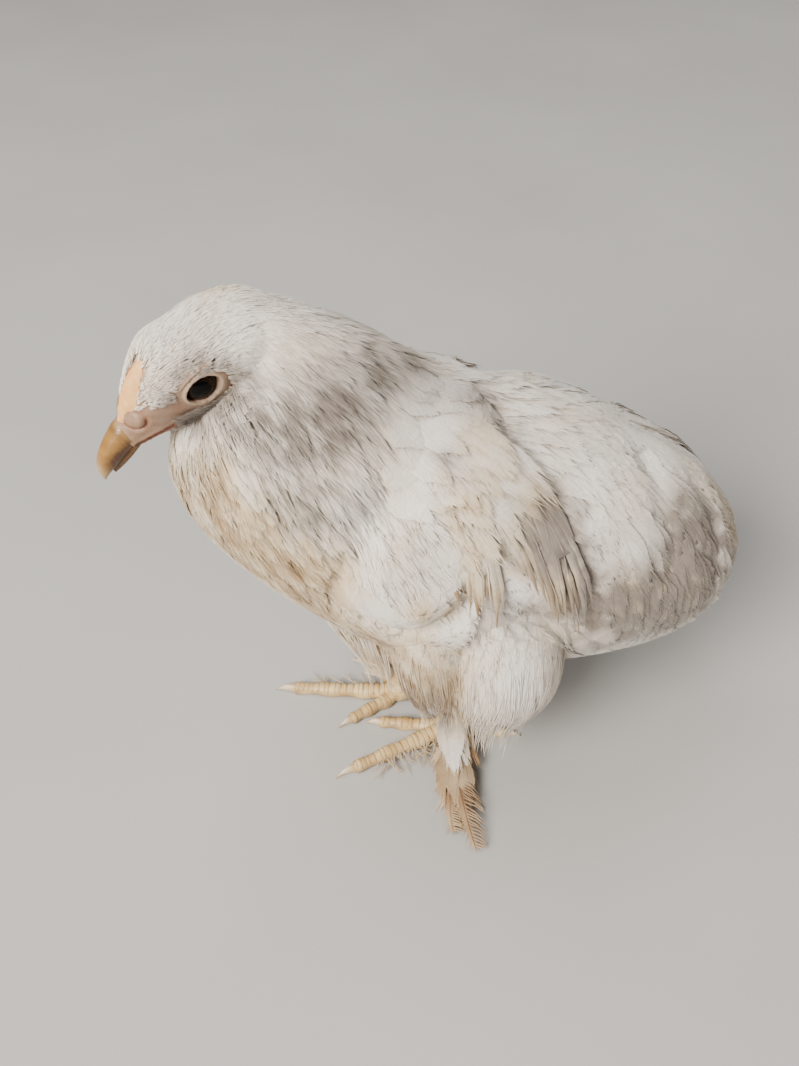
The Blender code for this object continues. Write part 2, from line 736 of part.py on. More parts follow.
def fringe(lobe):
    """Locks that lie down a lobe's lower half and hang past its end."""
    locks = []
    for k in range(FRINGE_COUNT):
        turn = 2 * math.pi * (k + 0.5) / FRINGE_COUNT
        ray = np.array((math.cos(turn), math.sin(turn), 0))
        path, outs = [], []
        for i in range(4):
            g = i / 3
            x, y, z, across, along = between(lobe, 0.52 + 0.48 * g)
            size = np.array((across, along, 0))
            here = np.array((x, y, z)) + ray * size * (0.96 + 0.10 * g) + ray * 2.2 * g
            here[2] -= FRINGE_LENGTH * 0.4 * g * g
            path.append(here)
            outs.append(ray + np.array((0, 0, 0.15)))
        widths = [FRINGE_WIDTH * w for w in (0.8, 1.0, 0.75, 0.2)]
        locks.append(lock("lock", path, outs, widths, 1.2))
    return locks


def box_below(level):
    """A block that reaches up from under the floor to a level, to cut with."""
    mesh = bpy.data.meshes.new("floor_cut")
    shaped = bmesh.new()
    bmesh.ops.create_cube(shaped, size=1.0)
    bmesh.ops.scale(shaped, verts=shaped.verts, vec=(0.4, 0.4, 0.1))
    bmesh.ops.translate(shaped, verts=shaped.verts, vec=(0, 0, level * MM - 0.05))
    shaped.to_mesh(mesh)
    shaped.free()
    obj = bpy.data.objects.new("floor_cut", mesh)
    bpy.context.scene.collection.objects.link(obj)
    return obj


def tube_along(name, path, radii, sides, kind, floor=None):
    """A round limb along a path, its underside flat where the floor cuts it."""
    path = [np.asarray(p, float) for p in path]
    rings = []
    for i, centre in enumerate(path):
        ahead = path[min(i + 1, len(path) - 1)] - path[max(i - 1, 0)]
        ahead /= np.linalg.norm(ahead)
        side = np.cross(ahead, (0, 0, 1))
        if np.linalg.norm(side) < 1e-6:
            side = np.array((1.0, 0, 0))
        side /= np.linalg.norm(side)
        up = np.cross(side, ahead)
        ring = []
        for k in range(sides):
            turn = 2 * math.pi * (k + 0.5) / sides
            p = centre + side * radii[i] * math.cos(turn) + up * radii[i] * math.sin(turn)
            if floor is not None:
                p[2] = max(p[2], floor)
            ring.append(p)
        rings.append(ring)
    return skin_of_rings(name, rings, kind)


def toe_path(foot, toe):
    """Places and radii along a toe, from inside the foot to the flat face where the claw begins."""
    start = np.array((*foot["joint"], JOINT_HEIGHT))
    first, last = TOE_RADIUS[toe]
    end = np.array((*foot["toes"][toe], last - SOLE_DEPTH))
    path, radii = [], []
    for f in (0, 0.25, 0.45, 0.63, 0.82, 1.0):
        here = start + (end - start) * f
        radius = first + (last - first) * f
        pad = 1 + 0.09 * math.cos(f * 6 * math.pi)
        arch = (JOINT_HEIGHT - (radius - SOLE_DEPTH)) * max(0, 1 - 3.2 * f) ** 1.5
        here[2] = radius - SOLE_DEPTH + arch
        path.append(here)
        radii.append(radius * (pad if 0 < f < 1 else 1))
    return path, radii


def shank_shape(name, foot, grow=0.0):
    """The scaly leg from above the toes to the hock."""
    low = np.array((*foot["joint"], JOINT_HEIGHT))
    high = np.array(foot["hock"])
    path = [low + (high - low) * f for f in (0.12, 0.3, 0.55, 0.8, 1.0)]
    swell = (1.15, 0.95, 0.92, 1.1, 1.25)
    if grow:
        path.append(high + (high - low) * (grow / np.linalg.norm(high - low)))
        swell += (1.25,)
    return tube_along(name, path, [SHANK_RADIUS * s + grow for s in swell], 10, "scale")


def make_foot(side, foot):
    """A foot with its toes and their feathers fused, its claws, and the shank over it."""
    joint = np.array((*foot["joint"], JOINT_HEIGHT))
    pieces = []
    for toe in foot["toes"]:
        path, radii = toe_path(foot, toe)
        pieces.append(tube_along(f"foot_{side}", path, radii, 8, "scale", floor=0.0))
        claw_shape(f"claw_{toe}_{side}", toe, path, radii)
    pieces.append(ball("joint", joint, FOOT_BALL, "scale", 10, 6))
    pieces += foot_vanes(foot, FOOT_TIERS[side])
    body = pieces.pop(0)
    boolean(body, pieces, "UNION", "MANIFOLD")
    claw_gap = claw_shape("claw_gap", "outer", *toe_path(foot, "outer"), CLEAR)
    boolean(body, [claw_gap], "DIFFERENCE", "MANIFOLD")
    shank = shank_shape(f"shank_{side}", foot)
    boolean(shank, [ball("cup", joint, FOOT_BALL + CLEAR, "scale", 10, 6)], "DIFFERENCE")


def claw_shape(name, toe, path, radii, grow=0.0):
    """A curved, tapered claw that starts a gap past the end of its toe."""
    tip, before = path[-1], path[-2]
    ahead = (tip - before) / np.linalg.norm(tip - before)
    length, radius = CLAW_LENGTH[toe], radii[-1] * 0.78
    places, sizes = [], []
    for f in (0, 0.3, 0.6, 0.85, 1.0):
        here = tip + ahead * (GAP + length * f + grow * (2 * f - 1))
        size = radius * (1 - 0.86 * f**1.3)
        here[2] = tip[2] * (1 - f) + 0.25 * radius * math.sin(math.pi * f) + (size + 0.1) * f
        places.append(here)
        sizes.append(size + grow)
    return tube_along(name, places, sizes, 8, "claw", floor=-grow)


def foot_vanes(foot, tiers):
    """Feathers of the booted foot, in tiers down the outer toe."""
    start = np.array((*foot["joint"], JOINT_HEIGHT))
    end = np.array((*foot["toes"]["outer"], 2.0))
    ahead = (end - start) / np.linalg.norm(end - start)
    across = np.cross((0, 0, 1), ahead)
    vanes = []
    for count, root, reach, fan, rise, width in tiers:
        for k in range(count):
            f = 2 * k / (count - 1) - 1
            base = start + (end - start) * root + across * 0.8 * f
            base[2] = 3.2
            turn = math.radians(fan * f)
            heading = ahead * math.cos(turn) + across * math.sin(turn)
            path, outs = [], []
            for i in range(4):
                g = i / 3
                here = base + heading * reach * (1 - 0.12 * abs(f)) * g
                arch = rise * 0.9 * math.sin(math.pi * min(g * 1.25, 1))
                here[2] = base[2] + arch - 1.6 * g + 0.9 * (1 - abs(f))
                path.append(here)
                outs.append(np.array((0, 0, 1.0)) + heading * 0.15)
            widths = [width * w for w in (0.6, 1.0, 0.95, 0.4)]
            vanes.append(vane("toe_feather", path, outs, widths))
    return vanes


def centre_on_floor():
    """Moves the whole hen so that her box is centred on the origin and stands on z = 0."""
    shown = [obj for obj in bpy.data.objects if obj.type == "MESH"]
    corners = np.array([v.co for obj in shown for v in obj.data.vertices])
    low, high = corners.min(0), corners.max(0)
    shift = Matrix.Translation((-(low[0] + high[0]) / 2, -(low[1] + high[1]) / 2, 0))
    for obj in shown:
        obj.data.transform(shift)
        obj.data.shade_smooth()


def main():
    clear_scene()
    make_head()
    make_comb()
    make_beaks()
    make_neck()
    body_piece("torso")
    body_piece("rump")
    for side, sign in (("left", 1), ("right", -1)):
        ball(f"eye_{side}", eye_place(sign), EYE_RADIUS, "eye", 12, 8)
        make_wing(side, sign)
        make_foot(side, FEET[side])
        make_leg(side, LOBES[side], FEET[side])
    make_tail()
    centre_on_floor()


main()
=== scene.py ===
"""The looks of the bantam hen: one skin, her plumage feather by feather, face, beak, eyes and feet."""

import math

import bpy
import numpy as np
from mathutils.bvhtree import BVHTree
from mathutils import Matrix, Vector


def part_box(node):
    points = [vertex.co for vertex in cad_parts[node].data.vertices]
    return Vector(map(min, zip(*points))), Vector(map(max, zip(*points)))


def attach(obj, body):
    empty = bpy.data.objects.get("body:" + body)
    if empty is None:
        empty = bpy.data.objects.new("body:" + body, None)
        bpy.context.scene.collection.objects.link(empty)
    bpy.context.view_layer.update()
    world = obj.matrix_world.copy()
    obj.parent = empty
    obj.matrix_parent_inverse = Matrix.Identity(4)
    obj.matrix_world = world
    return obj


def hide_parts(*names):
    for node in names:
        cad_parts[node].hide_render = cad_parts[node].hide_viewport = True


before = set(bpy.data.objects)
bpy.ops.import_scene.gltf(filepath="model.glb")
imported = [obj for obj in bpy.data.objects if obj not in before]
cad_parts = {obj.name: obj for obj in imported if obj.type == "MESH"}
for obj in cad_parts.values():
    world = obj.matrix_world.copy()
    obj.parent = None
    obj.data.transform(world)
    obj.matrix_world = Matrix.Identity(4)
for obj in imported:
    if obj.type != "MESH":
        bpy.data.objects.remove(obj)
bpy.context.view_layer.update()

# All places in the tables are in millimetres: x to her left, y backwards, z up from the floor, with the
# origin between her feet. find_shift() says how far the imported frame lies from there.
MM = 0.001
SEED = 20
MOST_TRIANGLES = 195000  # in one coat piece

# The camera that took the photograph: its place, and its focal length in pixels of the photograph.
PHOTO_HIGH = 1066
FOCAL = 1100.0
CAMERA_PLACE = (244.6, -74.3, 305.3)
CAMERA_AZIMUTH, CAMERA_PITCH = 75.0, 40.3

# The body's places are given as the share of the way down its rings, and the angle round them in degrees,
# with 90 at the back and 0 at her left side. Its rings: top y, top z, bottom y, bottom z, half width.
BODY_RINGS = np.array((
    (-50, 169.5, -64, 148, 5),
    (-45, 173.3, -72, 133, 12),
    (-36, 171.5, -70, 116, 21),
    (-22, 163, -60, 98, 29),
    (-4, 152, -43, 79, 37),
    (14, 144, -20, 60, 43),
    (32, 135, 8, 49, 45.5),
    (50, 126, 36, 43.5, 44),
    (67, 115.5, 60, 42, 40),
    (83, 104, 77, 45, 33),
    (94, 90, 86, 52, 23),
    (99, 78, 92, 60, 12),
), float)
SKIN_REACH = 3.8  # a feather of the body grows only where the skin is so near to its rings
# Round forms on it: share, angle, reach as a share, reach in degrees, height.
WING_BED = (0.435, 42, 0.165, 62, -3.5)
FLANK_SWELL = (0.400, 4, 0.070, 30, 4.0)
ROUND_FLANK = (0.405, 3, 0.075, 33)  # where the feathers of the flank lie smoothest
# Creases in the coat: places along them as share and angle, reach, depth.
CREASES = (
    (((0.478, 76), (0.494, 63), (0.518, 52), (0.544, 38), (0.574, 24), (0.598, 8), (0.608, -8)), 3.6, -2.8),
    (((0.352, 26), (0.342, 5), (0.345, -18), (0.362, -38)), 3.0, -2.0),
    (((0.385, -32), (0.430, -27), (0.462, -14), (0.470, 6)), 2.8, -2.4),
    (((0.478, -4), (0.515, 0), (0.565, -6)), 4.0, -3.6),
    (((0.685, 66), (0.70, 42), (0.715, 15)), 3.6, -2.4),
    (((0.79, 64), (0.80, 40), (0.81, 12)), 3.6, -2.2),
    (((0.0, 90), (0.08, 90), (0.17, 88)), 11.0, -2.0),
)
SHARE_MM, DEGREE_MM = 195.0, 0.75  # about how far the body's share and angle reach

HEAD_CENTRE = np.array((1.5, -65.0, 159.6))
HEAD_PITCH, HEAD_YAW, HEAD_ROLL = 31.0, 14.0, 5.0
# Rings along the head: place along its axis, middle height, half width, reach up, reach down.
HEAD_RINGS = np.array((
    (23.0, -3.9, 3.6, 4.1, 4.8),
    (19.5, -3.2, 5.0, 5.8, 6.2),
    (15.0, -2.2, 7.0, 8.4, 8.6),
    (9.5, -1.0, 9.4, 11.2, 11.4),
    (3.5, 0.0, 11.6, 12.8, 13.8),
    (-3.0, -0.4, 13.2, 12.4, 15.0),
    (-10.0, -1.6, 14.8, 12.2, 15.6),
    (-16.5, -3.4, 14.4, 11.6, 14.2),
    (-22.0, -5.2, 11.5, 9.0, 11.0),
    (-26.0, -6.5, 6.0, 5.0, 6.0),
))
EYE = (0.0, 7.6, 0.2)  # along, out, up
EYE_RADIUS = 5.0
LID_LENGTH, LID_HEIGHT = 9.8, 7.4
LID_STRETCH = 1.3  # how much longer than high the bare ring round the lids is
# Rims of the lids and the fine folds round them: size against the opening, radius over the eye's, thickness.
LID_RIMS = ((1.0, 0.26, 0.20), (1.12, 0.86, 0.15), (1.22, 1.2, 0.14), (1.33, 1.55, 0.15))
GAPE_BACK, GAPE_FRONT, GAPE_LEVEL, GAPE_RISE = 9.5, 23.0, -5.8, -1.0
NOSTRIL = (18.3, 0.9)  # along, up
EAR = (-10.5, -6.5)
COAT_FRONT, COAT_LONG = 22, 46  # where the head's coat begins along its axis, and how far it reaches back
# The beak's rings, as along the head.
UPPER_BEAK = np.array((
    (21.6, -3.6, 3.2, 3.9, 3.0),
    (23.3, -3.8, 3.6, 4.1, 3.4),
    (26.0, -4.6, 3.4, 3.9, 3.4),
    (29.5, -5.8, 2.9, 3.5, 3.1),
    (32.6, -7.2, 2.1, 2.9, 2.6),
    (34.8, -8.8, 1.1, 1.9, 1.8),
    (35.6, -10.4, 0.3, 0.5, 0.5),
))
LOWER_BEAK = np.array((
    (21.0, -7.0, 2.9, 1.8, 1.6),
    (23.3, -7.6, 2.9, 1.8, 1.6),
    (26.0, -8.4, 2.6, 1.8, 1.6),
    (29.5, -9.5, 1.9, 1.6, 1.3),
    (32.2, -10.7, 0.7, 0.9, 0.7),
))
# Comb: place along, height over the head, half width, lean to her left.
COMB = np.array((
    (22.0, 0.5, 1.3, 0.4),
    (19.5, 0.9, 2.2, 0.9),
    (16.5, 1.0, 2.8, 1.4),
    (13.5, 0.9, 2.9, 1.8),
    (10.5, 0.6, 2.6, 2.1),
    (6.5, 0.1, 1.8, 2.3),
))

# Leg fluff, as x, y, z, reach sideways, reach along.
LOBES = {
    "left": (
        ((20, -6, 104, 7, 8), (25, -7, 84, 12, 13), (24, -4, 66, 13, 13.5), (21, -1, 46, 11, 12),
         (15, 3, 29, 8, 9.5), (9, 6, 17, 5, 6)),
        ((23, 15, 100, 8, 10), (29, 15, 86, 13, 16), (31, 16, 68, 14.5, 17.5), (31, 16, 52, 14, 16.5),
         (29, 15, 40, 11, 13.5), (27, 14, 32, 7, 8)),
    ),
    "right": (
        ((-17, -18, 110, 7, 9), (-23, -22, 88, 11.5, 15), (-24, -19, 64, 12.5, 18), (-21, -15, 44, 11, 15),
         (-17, -11, 28, 8, 10), (-15, -8, 19, 5, 6)),
        ((-23, 4, 100, 8, 10), (-29, 4, 86, 13, 16), (-31, 4, 68, 14, 18), (-30, 4, 52, 13, 16),
         (-28, 3, 40, 10, 12.5), (-26, 2, 33, 6.5, 7.5)),
    ),
}

FEET = {
    "left": {
        "joint": (6.2, 7.9),
        "hock": (19.0, 25.0, 40.0),
        "toes": {"inner": (-3.0, -14.8), "middle": (14.2, -28.2), "outer": (38.0, 1.5), "hind": (13.0, 26.5)},
    },
    "right": {
        "joint": (-13.6, -4.9),
        "hock": (-22.0, 15.0, 40.0),
        "toes": {
            "inner": (-7.0, -24.5), "middle": (-26.4, -41.0), "outer": (-40.0, -10.0), "hind": (-17.5, 15.0),
        },
    },
}
TOE_RADIUS = {"inner": (3.1, 2.2), "middle": (3.4, 2.4), "outer": (3.2, 2.3), "hind": (2.6, 1.9)}
CLAW_LENGTH = {"inner": 5.2, "middle": 7.2, "outer": 6.0, "hind": 5.0}
JOINT_HEIGHT, SOLE_DEPTH, SHANK_RADIUS, FOOT_BALL = 5.4, 0.5, 3.7, 5.3

# Stained places, cream to buff: x, y, z, reach, how deep the stain is.
STAINS = np.array((
    (20, -58, 115, 15, 0.42),
    (26, -46, 97, 14, 0.62),
    (18, -62, 130, 12, 0.30),
    (29, -42, 111, 10, 0.50),
    (22, -30, 76, 13, 0.70),
    (28, -10, 72, 12, 0.50),
    (26, -6, 50, 14, 1.00),
    (22, -8, 36, 9, 0.60),
    (42, -6, 97, 3.5, 0.80),
    (42, -14, 100, 3.5, 0.60),
    (44, 27, 93, 4, 0.60),
    (42, 48, 89, 8, 0.45),
    (38, 66, 82, 9, 0.45),
    (37, 14, 106, 6, 0.35),
    (12, 92, 84, 12, 0.40),
    (36, -2, 124, 5, 0.35),
    (0, -66, 118, 12, 0.45),
    (-24, -44, 104, 16, 0.50),
    (-42, 26, 92, 10, 0.50),
    (18, 2, 28, 12, 0.60),
    (-18, -10, 30, 14, 0.60),
), float)
# Beige grey places, partly dust and partly painted shade, as on the rump's shaded side, under the wings' tips
# and in the thighs' hems.
DUST_AND_SHADE = np.array((
    (20, -49, 151, 11, 0.80),
    (24, -42, 146, 9, 0.65),
    (21, -33, 154, 9, 0.80),
    (24, -29, 149, 7, 0.60),
    (13, -19, 157, 9, 0.85),
    (6, -6, 151, 8, 0.75),
    (10, 9, 141, 8, 0.60),
    (17, 19, 134, 7, 0.55),
    (26, -3, 135, 4, 1.00),
    (21, 15, 130, 4, 0.80),
    (33, 24, 118, 8, 0.80),
    (38, 27, 112, 8, 0.90),
    (44, 31, 97, 8, 0.70),
    # Painted shade on the side and the underside of the rump.
    (31, 72, 97, 13, 0.90),
    (32, 80, 84, 13, 0.80),
    (40, 62, 80, 14, 0.75),
    # Painted shade low on the thighs' fluff and inside its hem.
    (30, -10, 48, 10, 0.60),
    (24, -8, 30, 10, 0.70),
    (30, 16, 37, 12, 2.20),
    (14, 2, 24, 9, 1.20),
    # Painted shade under the tips of the flight feathers and low on the rump.
    (44, 19, 92, 5, 1.00),
    (43, 46, 91, 8, 0.85),
    (44, 37, 88, 6, 0.80),
    (40, 60, 86, 9, 0.70),
    (41, 38, 70, 10, 0.60),
    (44, 8, 92, 5, 0.80),
    (24, -4, 22, 10, 0.60),
    (29, -36, 128, 8, 0.55),
    (29, -44, 127, 8, 0.45),
    (33, -24, 128, 6, 0.40),
    (40, 20, 108, 8, 0.65),
    (43, 34, 96, 8, 0.55),
    (29, 68, 102, 12, 0.35),
    (37, 67, 91, 12, 0.45),
    (44, 40, 84, 6, 0.60),
    (40, 48, 77, 9, 0.70),
    (36, 62, 73, 9, 0.80),
    (29, 74, 72, 9, 0.70),
    (20, 88, 76, 8, 0.60),
    (19, 86, 96, 10, 0.45),
    (34, 8, 118, 6, 0.35),
    (-20, -45, 150, 13, 0.70),
    (-15, -20, 156, 12, 0.70),
    (-24, -30, 135, 12, 0.45),
    (-28, 2, 132, 12, 0.35),
    (-40, 28, 104, 11, 0.45),
    (-30, 68, 98, 13, 0.35),
), float)


def spline(rows, share):
    """Rows part of the way along a table, on a smooth curve through them."""
    rows = np.asarray(rows, float)
    share = np.asarray(share, float)
    last = len(rows) - 1
    place = np.clip(share, 0, 1) * last
    i = np.minimum(place.astype(int), last - 1)
    f = (place - i)[..., None]
    a, b, c, d = rows[np.maximum(i - 1, 0)], rows[i], rows[i + 1], rows[np.minimum(i + 2, last)]
    return 0.5 * (2 * b + (c - a) * f + (2 * a - 5 * b + 4 * c - d) * f**2 + (3 * b - 3 * c + d - a) * f**3)


def unit(v):
    """Vectors of length one in the same directions."""
    return v / np.maximum(np.linalg.norm(v, axis=-1, keepdims=True), 1e-9)


def smooth(x, low=0.0, high=1.0):
    """A soft step from 0 at low to 1 at high."""
    f = np.clip((x - low) / (high - low), 0, 1)
    return f * f * (3 - 2 * f)


def bell(x):
    """1 at 0, and softly down to nothing by about 2."""
    return np.exp(-x**2)


def turns(count):
    """Even angles once round, in radians."""
    return np.linspace(0, 2 * math.pi, count, endpoint=False)


def grid(shares, sides):
    """Places along a form and angles round it, in degrees."""
    return np.meshgrid(shares, np.linspace(0, 360, sides, endpoint=False), indexing="ij")


def one_side(degrees):
    """The same angle on her left side for both sides, from 90 at the back to -90 underneath."""
    turn = (degrees + 90) % 360 - 90
    return np.where(turn > 90, 180 - turn, turn)


def patch_away(share, degrees, middle, angle, reach, spread):
    """How far a place is from the middle of an oval patch, which ends at 1."""
    return np.hypot((share - middle) / reach, (one_side(degrees) - angle) / spread)


def relief(share, degrees, shape):
    """How high one round form of the body stands at a place."""
    return shape[-1] * smooth((1 - patch_away(share, degrees, *shape[:-1])) * 2)


def body_bare(share, degrees, height):
    """Points on the body's rings, or over them."""
    top_y, top_z, low_y, low_z, half = np.moveaxis(spline(BODY_RINGS, share), -1, 0)
    up_y, up_z = (top_y - low_y) / 2, (top_z - low_z) / 2
    reach = np.hypot(up_y, up_z)
    turn = np.radians(degrees)
    grown = (reach + height) / reach * np.sin(turn)
    return np.stack((
        (half + height) * np.cos(turn), (top_y + low_y) / 2 + up_y * grown, (top_z + low_z) / 2 + up_z * grown
    ), -1)


def valley(share, degrees, line, reach, depth):
    """A crease along a line of places on the body, the same on both sides."""
    here = np.stack((share * SHARE_MM, one_side(degrees) * DEGREE_MM), -1)
    line = np.array(line) * (SHARE_MM, DEGREE_MM)
    away = np.full(np.shape(share), 1e9)
    for a, b in zip(line[:-1], line[1:]):
        f = np.clip(((here - a) @ (b - a)) / ((b - a) @ (b - a)), 0, 1)
        away = np.minimum(away, np.linalg.norm(here - a - f[..., None] * (b - a), axis=-1))
    return depth * bell(away / reach)


def body_at(share, degrees, height):
    """The body with the beds that the wings lie in, the soft swell of her flanks and the creases between."""
    forms = relief(share, degrees, WING_BED) + relief(share, degrees, FLANK_SWELL)
    for line, reach, depth in CREASES:
        forms = forms + valley(share, degrees, line, reach, depth)
    return body_bare(share, degrees, height + forms)


def wing_at(share, degrees, height):
    """The body with the wings' beds alone, which the feathers of the wings are laid on."""
    return body_bare(share, degrees, height + relief(share, degrees, WING_BED))


def head_axes():
    """Forward, left and up for the head, which is bent down and turned to her left."""
    pitch, yaw, roll = map(math.radians, (HEAD_PITCH, HEAD_YAW, HEAD_ROLL))
    flat = math.cos(pitch)
    forward = np.array((math.sin(yaw) * flat, -math.cos(yaw) * flat, -math.sin(pitch)))
    left = np.array((math.cos(yaw), math.sin(yaw), 0))
    up = np.cross(forward, left)
    return forward, left * math.cos(roll) - up * math.sin(roll), up * math.cos(roll) + left * math.sin(roll)


FORWARD, LEFT, UP = head_axes()


def head_point(along, out, up):
    """A place from how far it is along the head, out to her left and up."""
    along, out, up = np.broadcast_arrays(np.asarray(along, float), out, up)
    return HEAD_CENTRE + FORWARD * along[..., None] + LEFT * out[..., None] + UP * up[..., None]


def head_ring(along):
    """Middle height, half width, reach up and reach down of the head at places along it."""
    share = np.interp(-along, -HEAD_RINGS[:, 0], np.linspace(0, 1, len(HEAD_RINGS)))
    return np.moveaxis(spline(HEAD_RINGS, share), -1, 0)[1:]


def head_at(along, degrees, height):
    """Points on the head's rings: 90 degrees is the crown and 0 her left cheek."""
    along = np.asarray(along, float)
    middle, half, up, down = head_ring(along)
    turn = np.radians(degrees)
    height = height - 1.4 * smooth(np.sin(turn), 0.3, 0.95) * smooth(-along, -3, 8)
    rise = np.where(np.sin(turn) > 0, up, down) + height
    return head_point(along, (half + height) * np.cos(turn), middle + rise * np.sin(turn))


def head_coat_at(u, v, height):
    """The head's surface as the coat takes it: u from 0 in front to 1 behind, v in degrees."""
    return head_at(COAT_FRONT - COAT_LONG * u, v, height)


def in_head(points):
    """How far places are along the head, out to her left and up."""
    away = points - HEAD_CENTRE
    return away @ FORWARD, away @ LEFT, away @ UP


def by_eye(sign, along=0.0, out=0.0, rise=0.0):
    """The middle of the left eye, or of the right one where sign is -1, or a place so far from it."""
    return head_point(EYE[0] + along, sign * (EYE[1] + out), EYE[2] + rise)


def eye_away(along, up, stretch):
    """How far a place on the side of the head is from the eye, less far along the head than up."""
    return np.hypot((along - EYE[0]) / stretch, up - EYE[2])


def under_eye(along, up):
    """Below 1 in the oval of thinly feathered skin under the eye, greyed by dust and painted shade."""
    return np.hypot((along - 3.0) / 12.0, (up + 4.5) / 4.5)


def nostril_away(along, up):
    """Below 1 in the oval of the flap over the nostril."""
    return np.hypot((along - NOSTRIL[0]) / 2.6, (up - NOSTRIL[1]) / 2.9)


def soft_spot(along, up, middle, reach):
    """1 in the middle of a soft oval on the side of the head, and down to nothing round it."""
    return np.exp(-(((along - middle[0]) / reach[0]) ** 2 + ((up - middle[1]) / reach[1]) ** 2))


def gape_level(along):
    """How high the line of the mouth is."""
    return GAPE_LEVEL + GAPE_RISE * (along - GAPE_BACK) / (GAPE_FRONT - GAPE_BACK)


def lobe_at(rows):
    """The surface of one lobe of leg fluff."""
    def at(share, degrees, height):
        x, y, z, across, along = np.moveaxis(spline(rows, share), -1, 0)
        turn = np.radians(degrees)
        return np.stack((x + (across + height) * np.cos(turn), y + (along + height) * np.sin(turn), z), -1)
    return at


def ripple(points, size, seed=0):
    """Smooth numbers from about -1 to 1 that wander over the shape at a size in millimetres."""
    total = 0
    ways = np.random.default_rng(seed).normal(size=(5, 3))
    for k, way in enumerate(unit(ways)):
        total = total + np.sin(points @ way * 2 * math.pi / (size * (0.7 + 0.17 * k)) + 1.7 * k + seed)
    return total / 2.6


def marked(points, table, seed):
    """How strongly a table of soft round spots marks some places, broken up unevenly."""
    away = np.linalg.norm(points[..., None, :] - table[:, :3], axis=-1) / table[:, 3]
    deep = (table[:, 4] * bell(away)).sum(-1) * (0.75 + 0.35 * ripple(points, 8.0, seed))
    return np.clip(deep + 0.08 + 0.06 * ripple(points, 23.0, seed + 2), 0, 1)


def stain(points):
    """How cream or buff the plumage and the skin are at a place."""
    return marked(points, STAINS, 3)


def dust(points):
    """How beige grey they are, from dust and from painted shade where she lies in shadow."""
    return marked(points, DUST_AND_SHADE_ALL, 6)


# Round the eyes and under the cheeks, partly dust and partly painted shade in the creases over the eyes and
# under the cheeks: along, out, up, reach, depth.
FACE_DUST_AND_SHADE = (
    (1, 10, -6, 5.0, 1.3), (-6, 11, -6, 5.0, 1.3), (8, 8, -2.5, 5.0, 1.0), (-8, 12, -1, 4.0, 1.2),
    (3, 9, 4.8, 3.0, 1.2), (9, 7, -7, 5.0, 1.4), (-3, 10, 5.2, 3.0, 1.2), (13, 6, -3.5, 3.5, 1.0),
    (8, 8, 3.0, 3.0, 0.9),
)
# The dust and painted shade of the body and of the face together.
DUST_AND_SHADE_ALL = np.concatenate([DUST_AND_SHADE, [
    (*head_point(along, side * out, up), reach, depth)
    for along, out, up, reach, depth in FACE_DUST_AND_SHADE for side in (1, -1)
]])


def find_shift():
    """How far the places in the tables are from the same places in the frame."""
    low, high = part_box("eye_left")
    middle = (np.array(low) + np.array(high)) / 2 / MM
    return head_point(*EYE) - middle


SHIFT = find_shift()
SKIN = []  # the finished skin, to find places on it


def near_skin(points, reach):
    """Which places lie at the skin, and not inside another of its forms."""
    return np.array([SKIN[0].find_nearest(Vector(p), reach)[0] is not None for p in points])


def on_skin(points):
    """The nearest places on the skin, and what is outward there."""
    found = [SKIN[0].find_nearest(Vector(p))[:2] for p in points]
    return np.array([place for place, _ in found]), np.array([normal for _, normal in found])


# Meshes and materials

VANE, RIM, BARB = 0, 1, 2  # what a point of a feather belongs to


def link(obj):
    bpy.context.scene.collection.objects.link(obj)
    return obj


def add_mesh(name, points, faces, material, attributes=None, uvs=None, kinds=None):
    """A mesh object from points in millimetres; kinds says what each point of a feather belongs to."""
    mesh = bpy.data.meshes.new(name)
    points = (np.asarray(points, float) - SHIFT) * MM
    faces = np.asarray(faces, np.int32)
    mesh.vertices.add(len(points))
    mesh.vertices.foreach_set("co", points.astype(np.float32).ravel())
    mesh.loops.add(faces.size)
    mesh.loops.foreach_set("vertex_index", faces.ravel())
    mesh.polygons.add(len(faces))
    mesh.polygons.foreach_set("loop_start", np.arange(0, faces.size, 3, dtype=np.int32))
    mesh.update(calc_edges=True)
    for key, values in (attributes or {}).items():
        layer = mesh.attributes.new(key, "FLOAT", "POINT")
        layer.data.foreach_set("value", np.asarray(values, np.float32).ravel())
    if uvs is not None:
        layer = mesh.uv_layers.new(name="OFBake")
        layer.data.foreach_set("uv", np.asarray(uvs, np.float32)[faces.ravel()].ravel())
    kinds = np.full(len(points), VANE) if kinds is None else kinds
    mesh.polygons.foreach_set("use_smooth", (kinds[faces] != BARB).any(1))
    ends = np.empty(len(mesh.edges) * 2, np.int32)
    mesh.edges.foreach_get("vertices", ends)
    sharp = (kinds[ends.reshape(-1, 2)] == RIM).all(1)
    if sharp.any():
        mesh.attributes.new("sharp_edge", "BOOLEAN", "EDGE").data.foreach_set("value", sharp)
    mesh.materials.append(material)
    return link(bpy.data.objects.new(name, mesh))


def keep(obj, slot, *nodes):
    """Makes a piece ride on the only body, in place of the nodes named; the slot it is given is not used."""
    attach(obj, "root")
    if nodes:
        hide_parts(*nodes)
    return obj


def band(count, sides, closed=False):
    """Triangles between rings of points, and back to the first ring where it is closed."""
    i, j = np.meshgrid(np.arange(count if closed else count - 1), np.arange(sides), indexing="ij")
    k, m = (j + 1) % sides, (i + 1) % count
    a, b, c, d = i * sides + j, i * sides + k, m * sides + k, m * sides + j
    return np.concatenate([np.stack((a, b, c), -1).reshape(-1, 3), np.stack((a, c, d), -1).reshape(-1, 3)])


def outwards(points, faces, centre=0.0):
    """The faces of a closed form, turned over where they look inwards."""
    corners = points[faces] - centre
    volume = np.einsum("ij,ij->", corners[:, 0], np.cross(corners[:, 1], corners[:, 2]))
    return faces if volume > 0 else faces[:, ::-1]


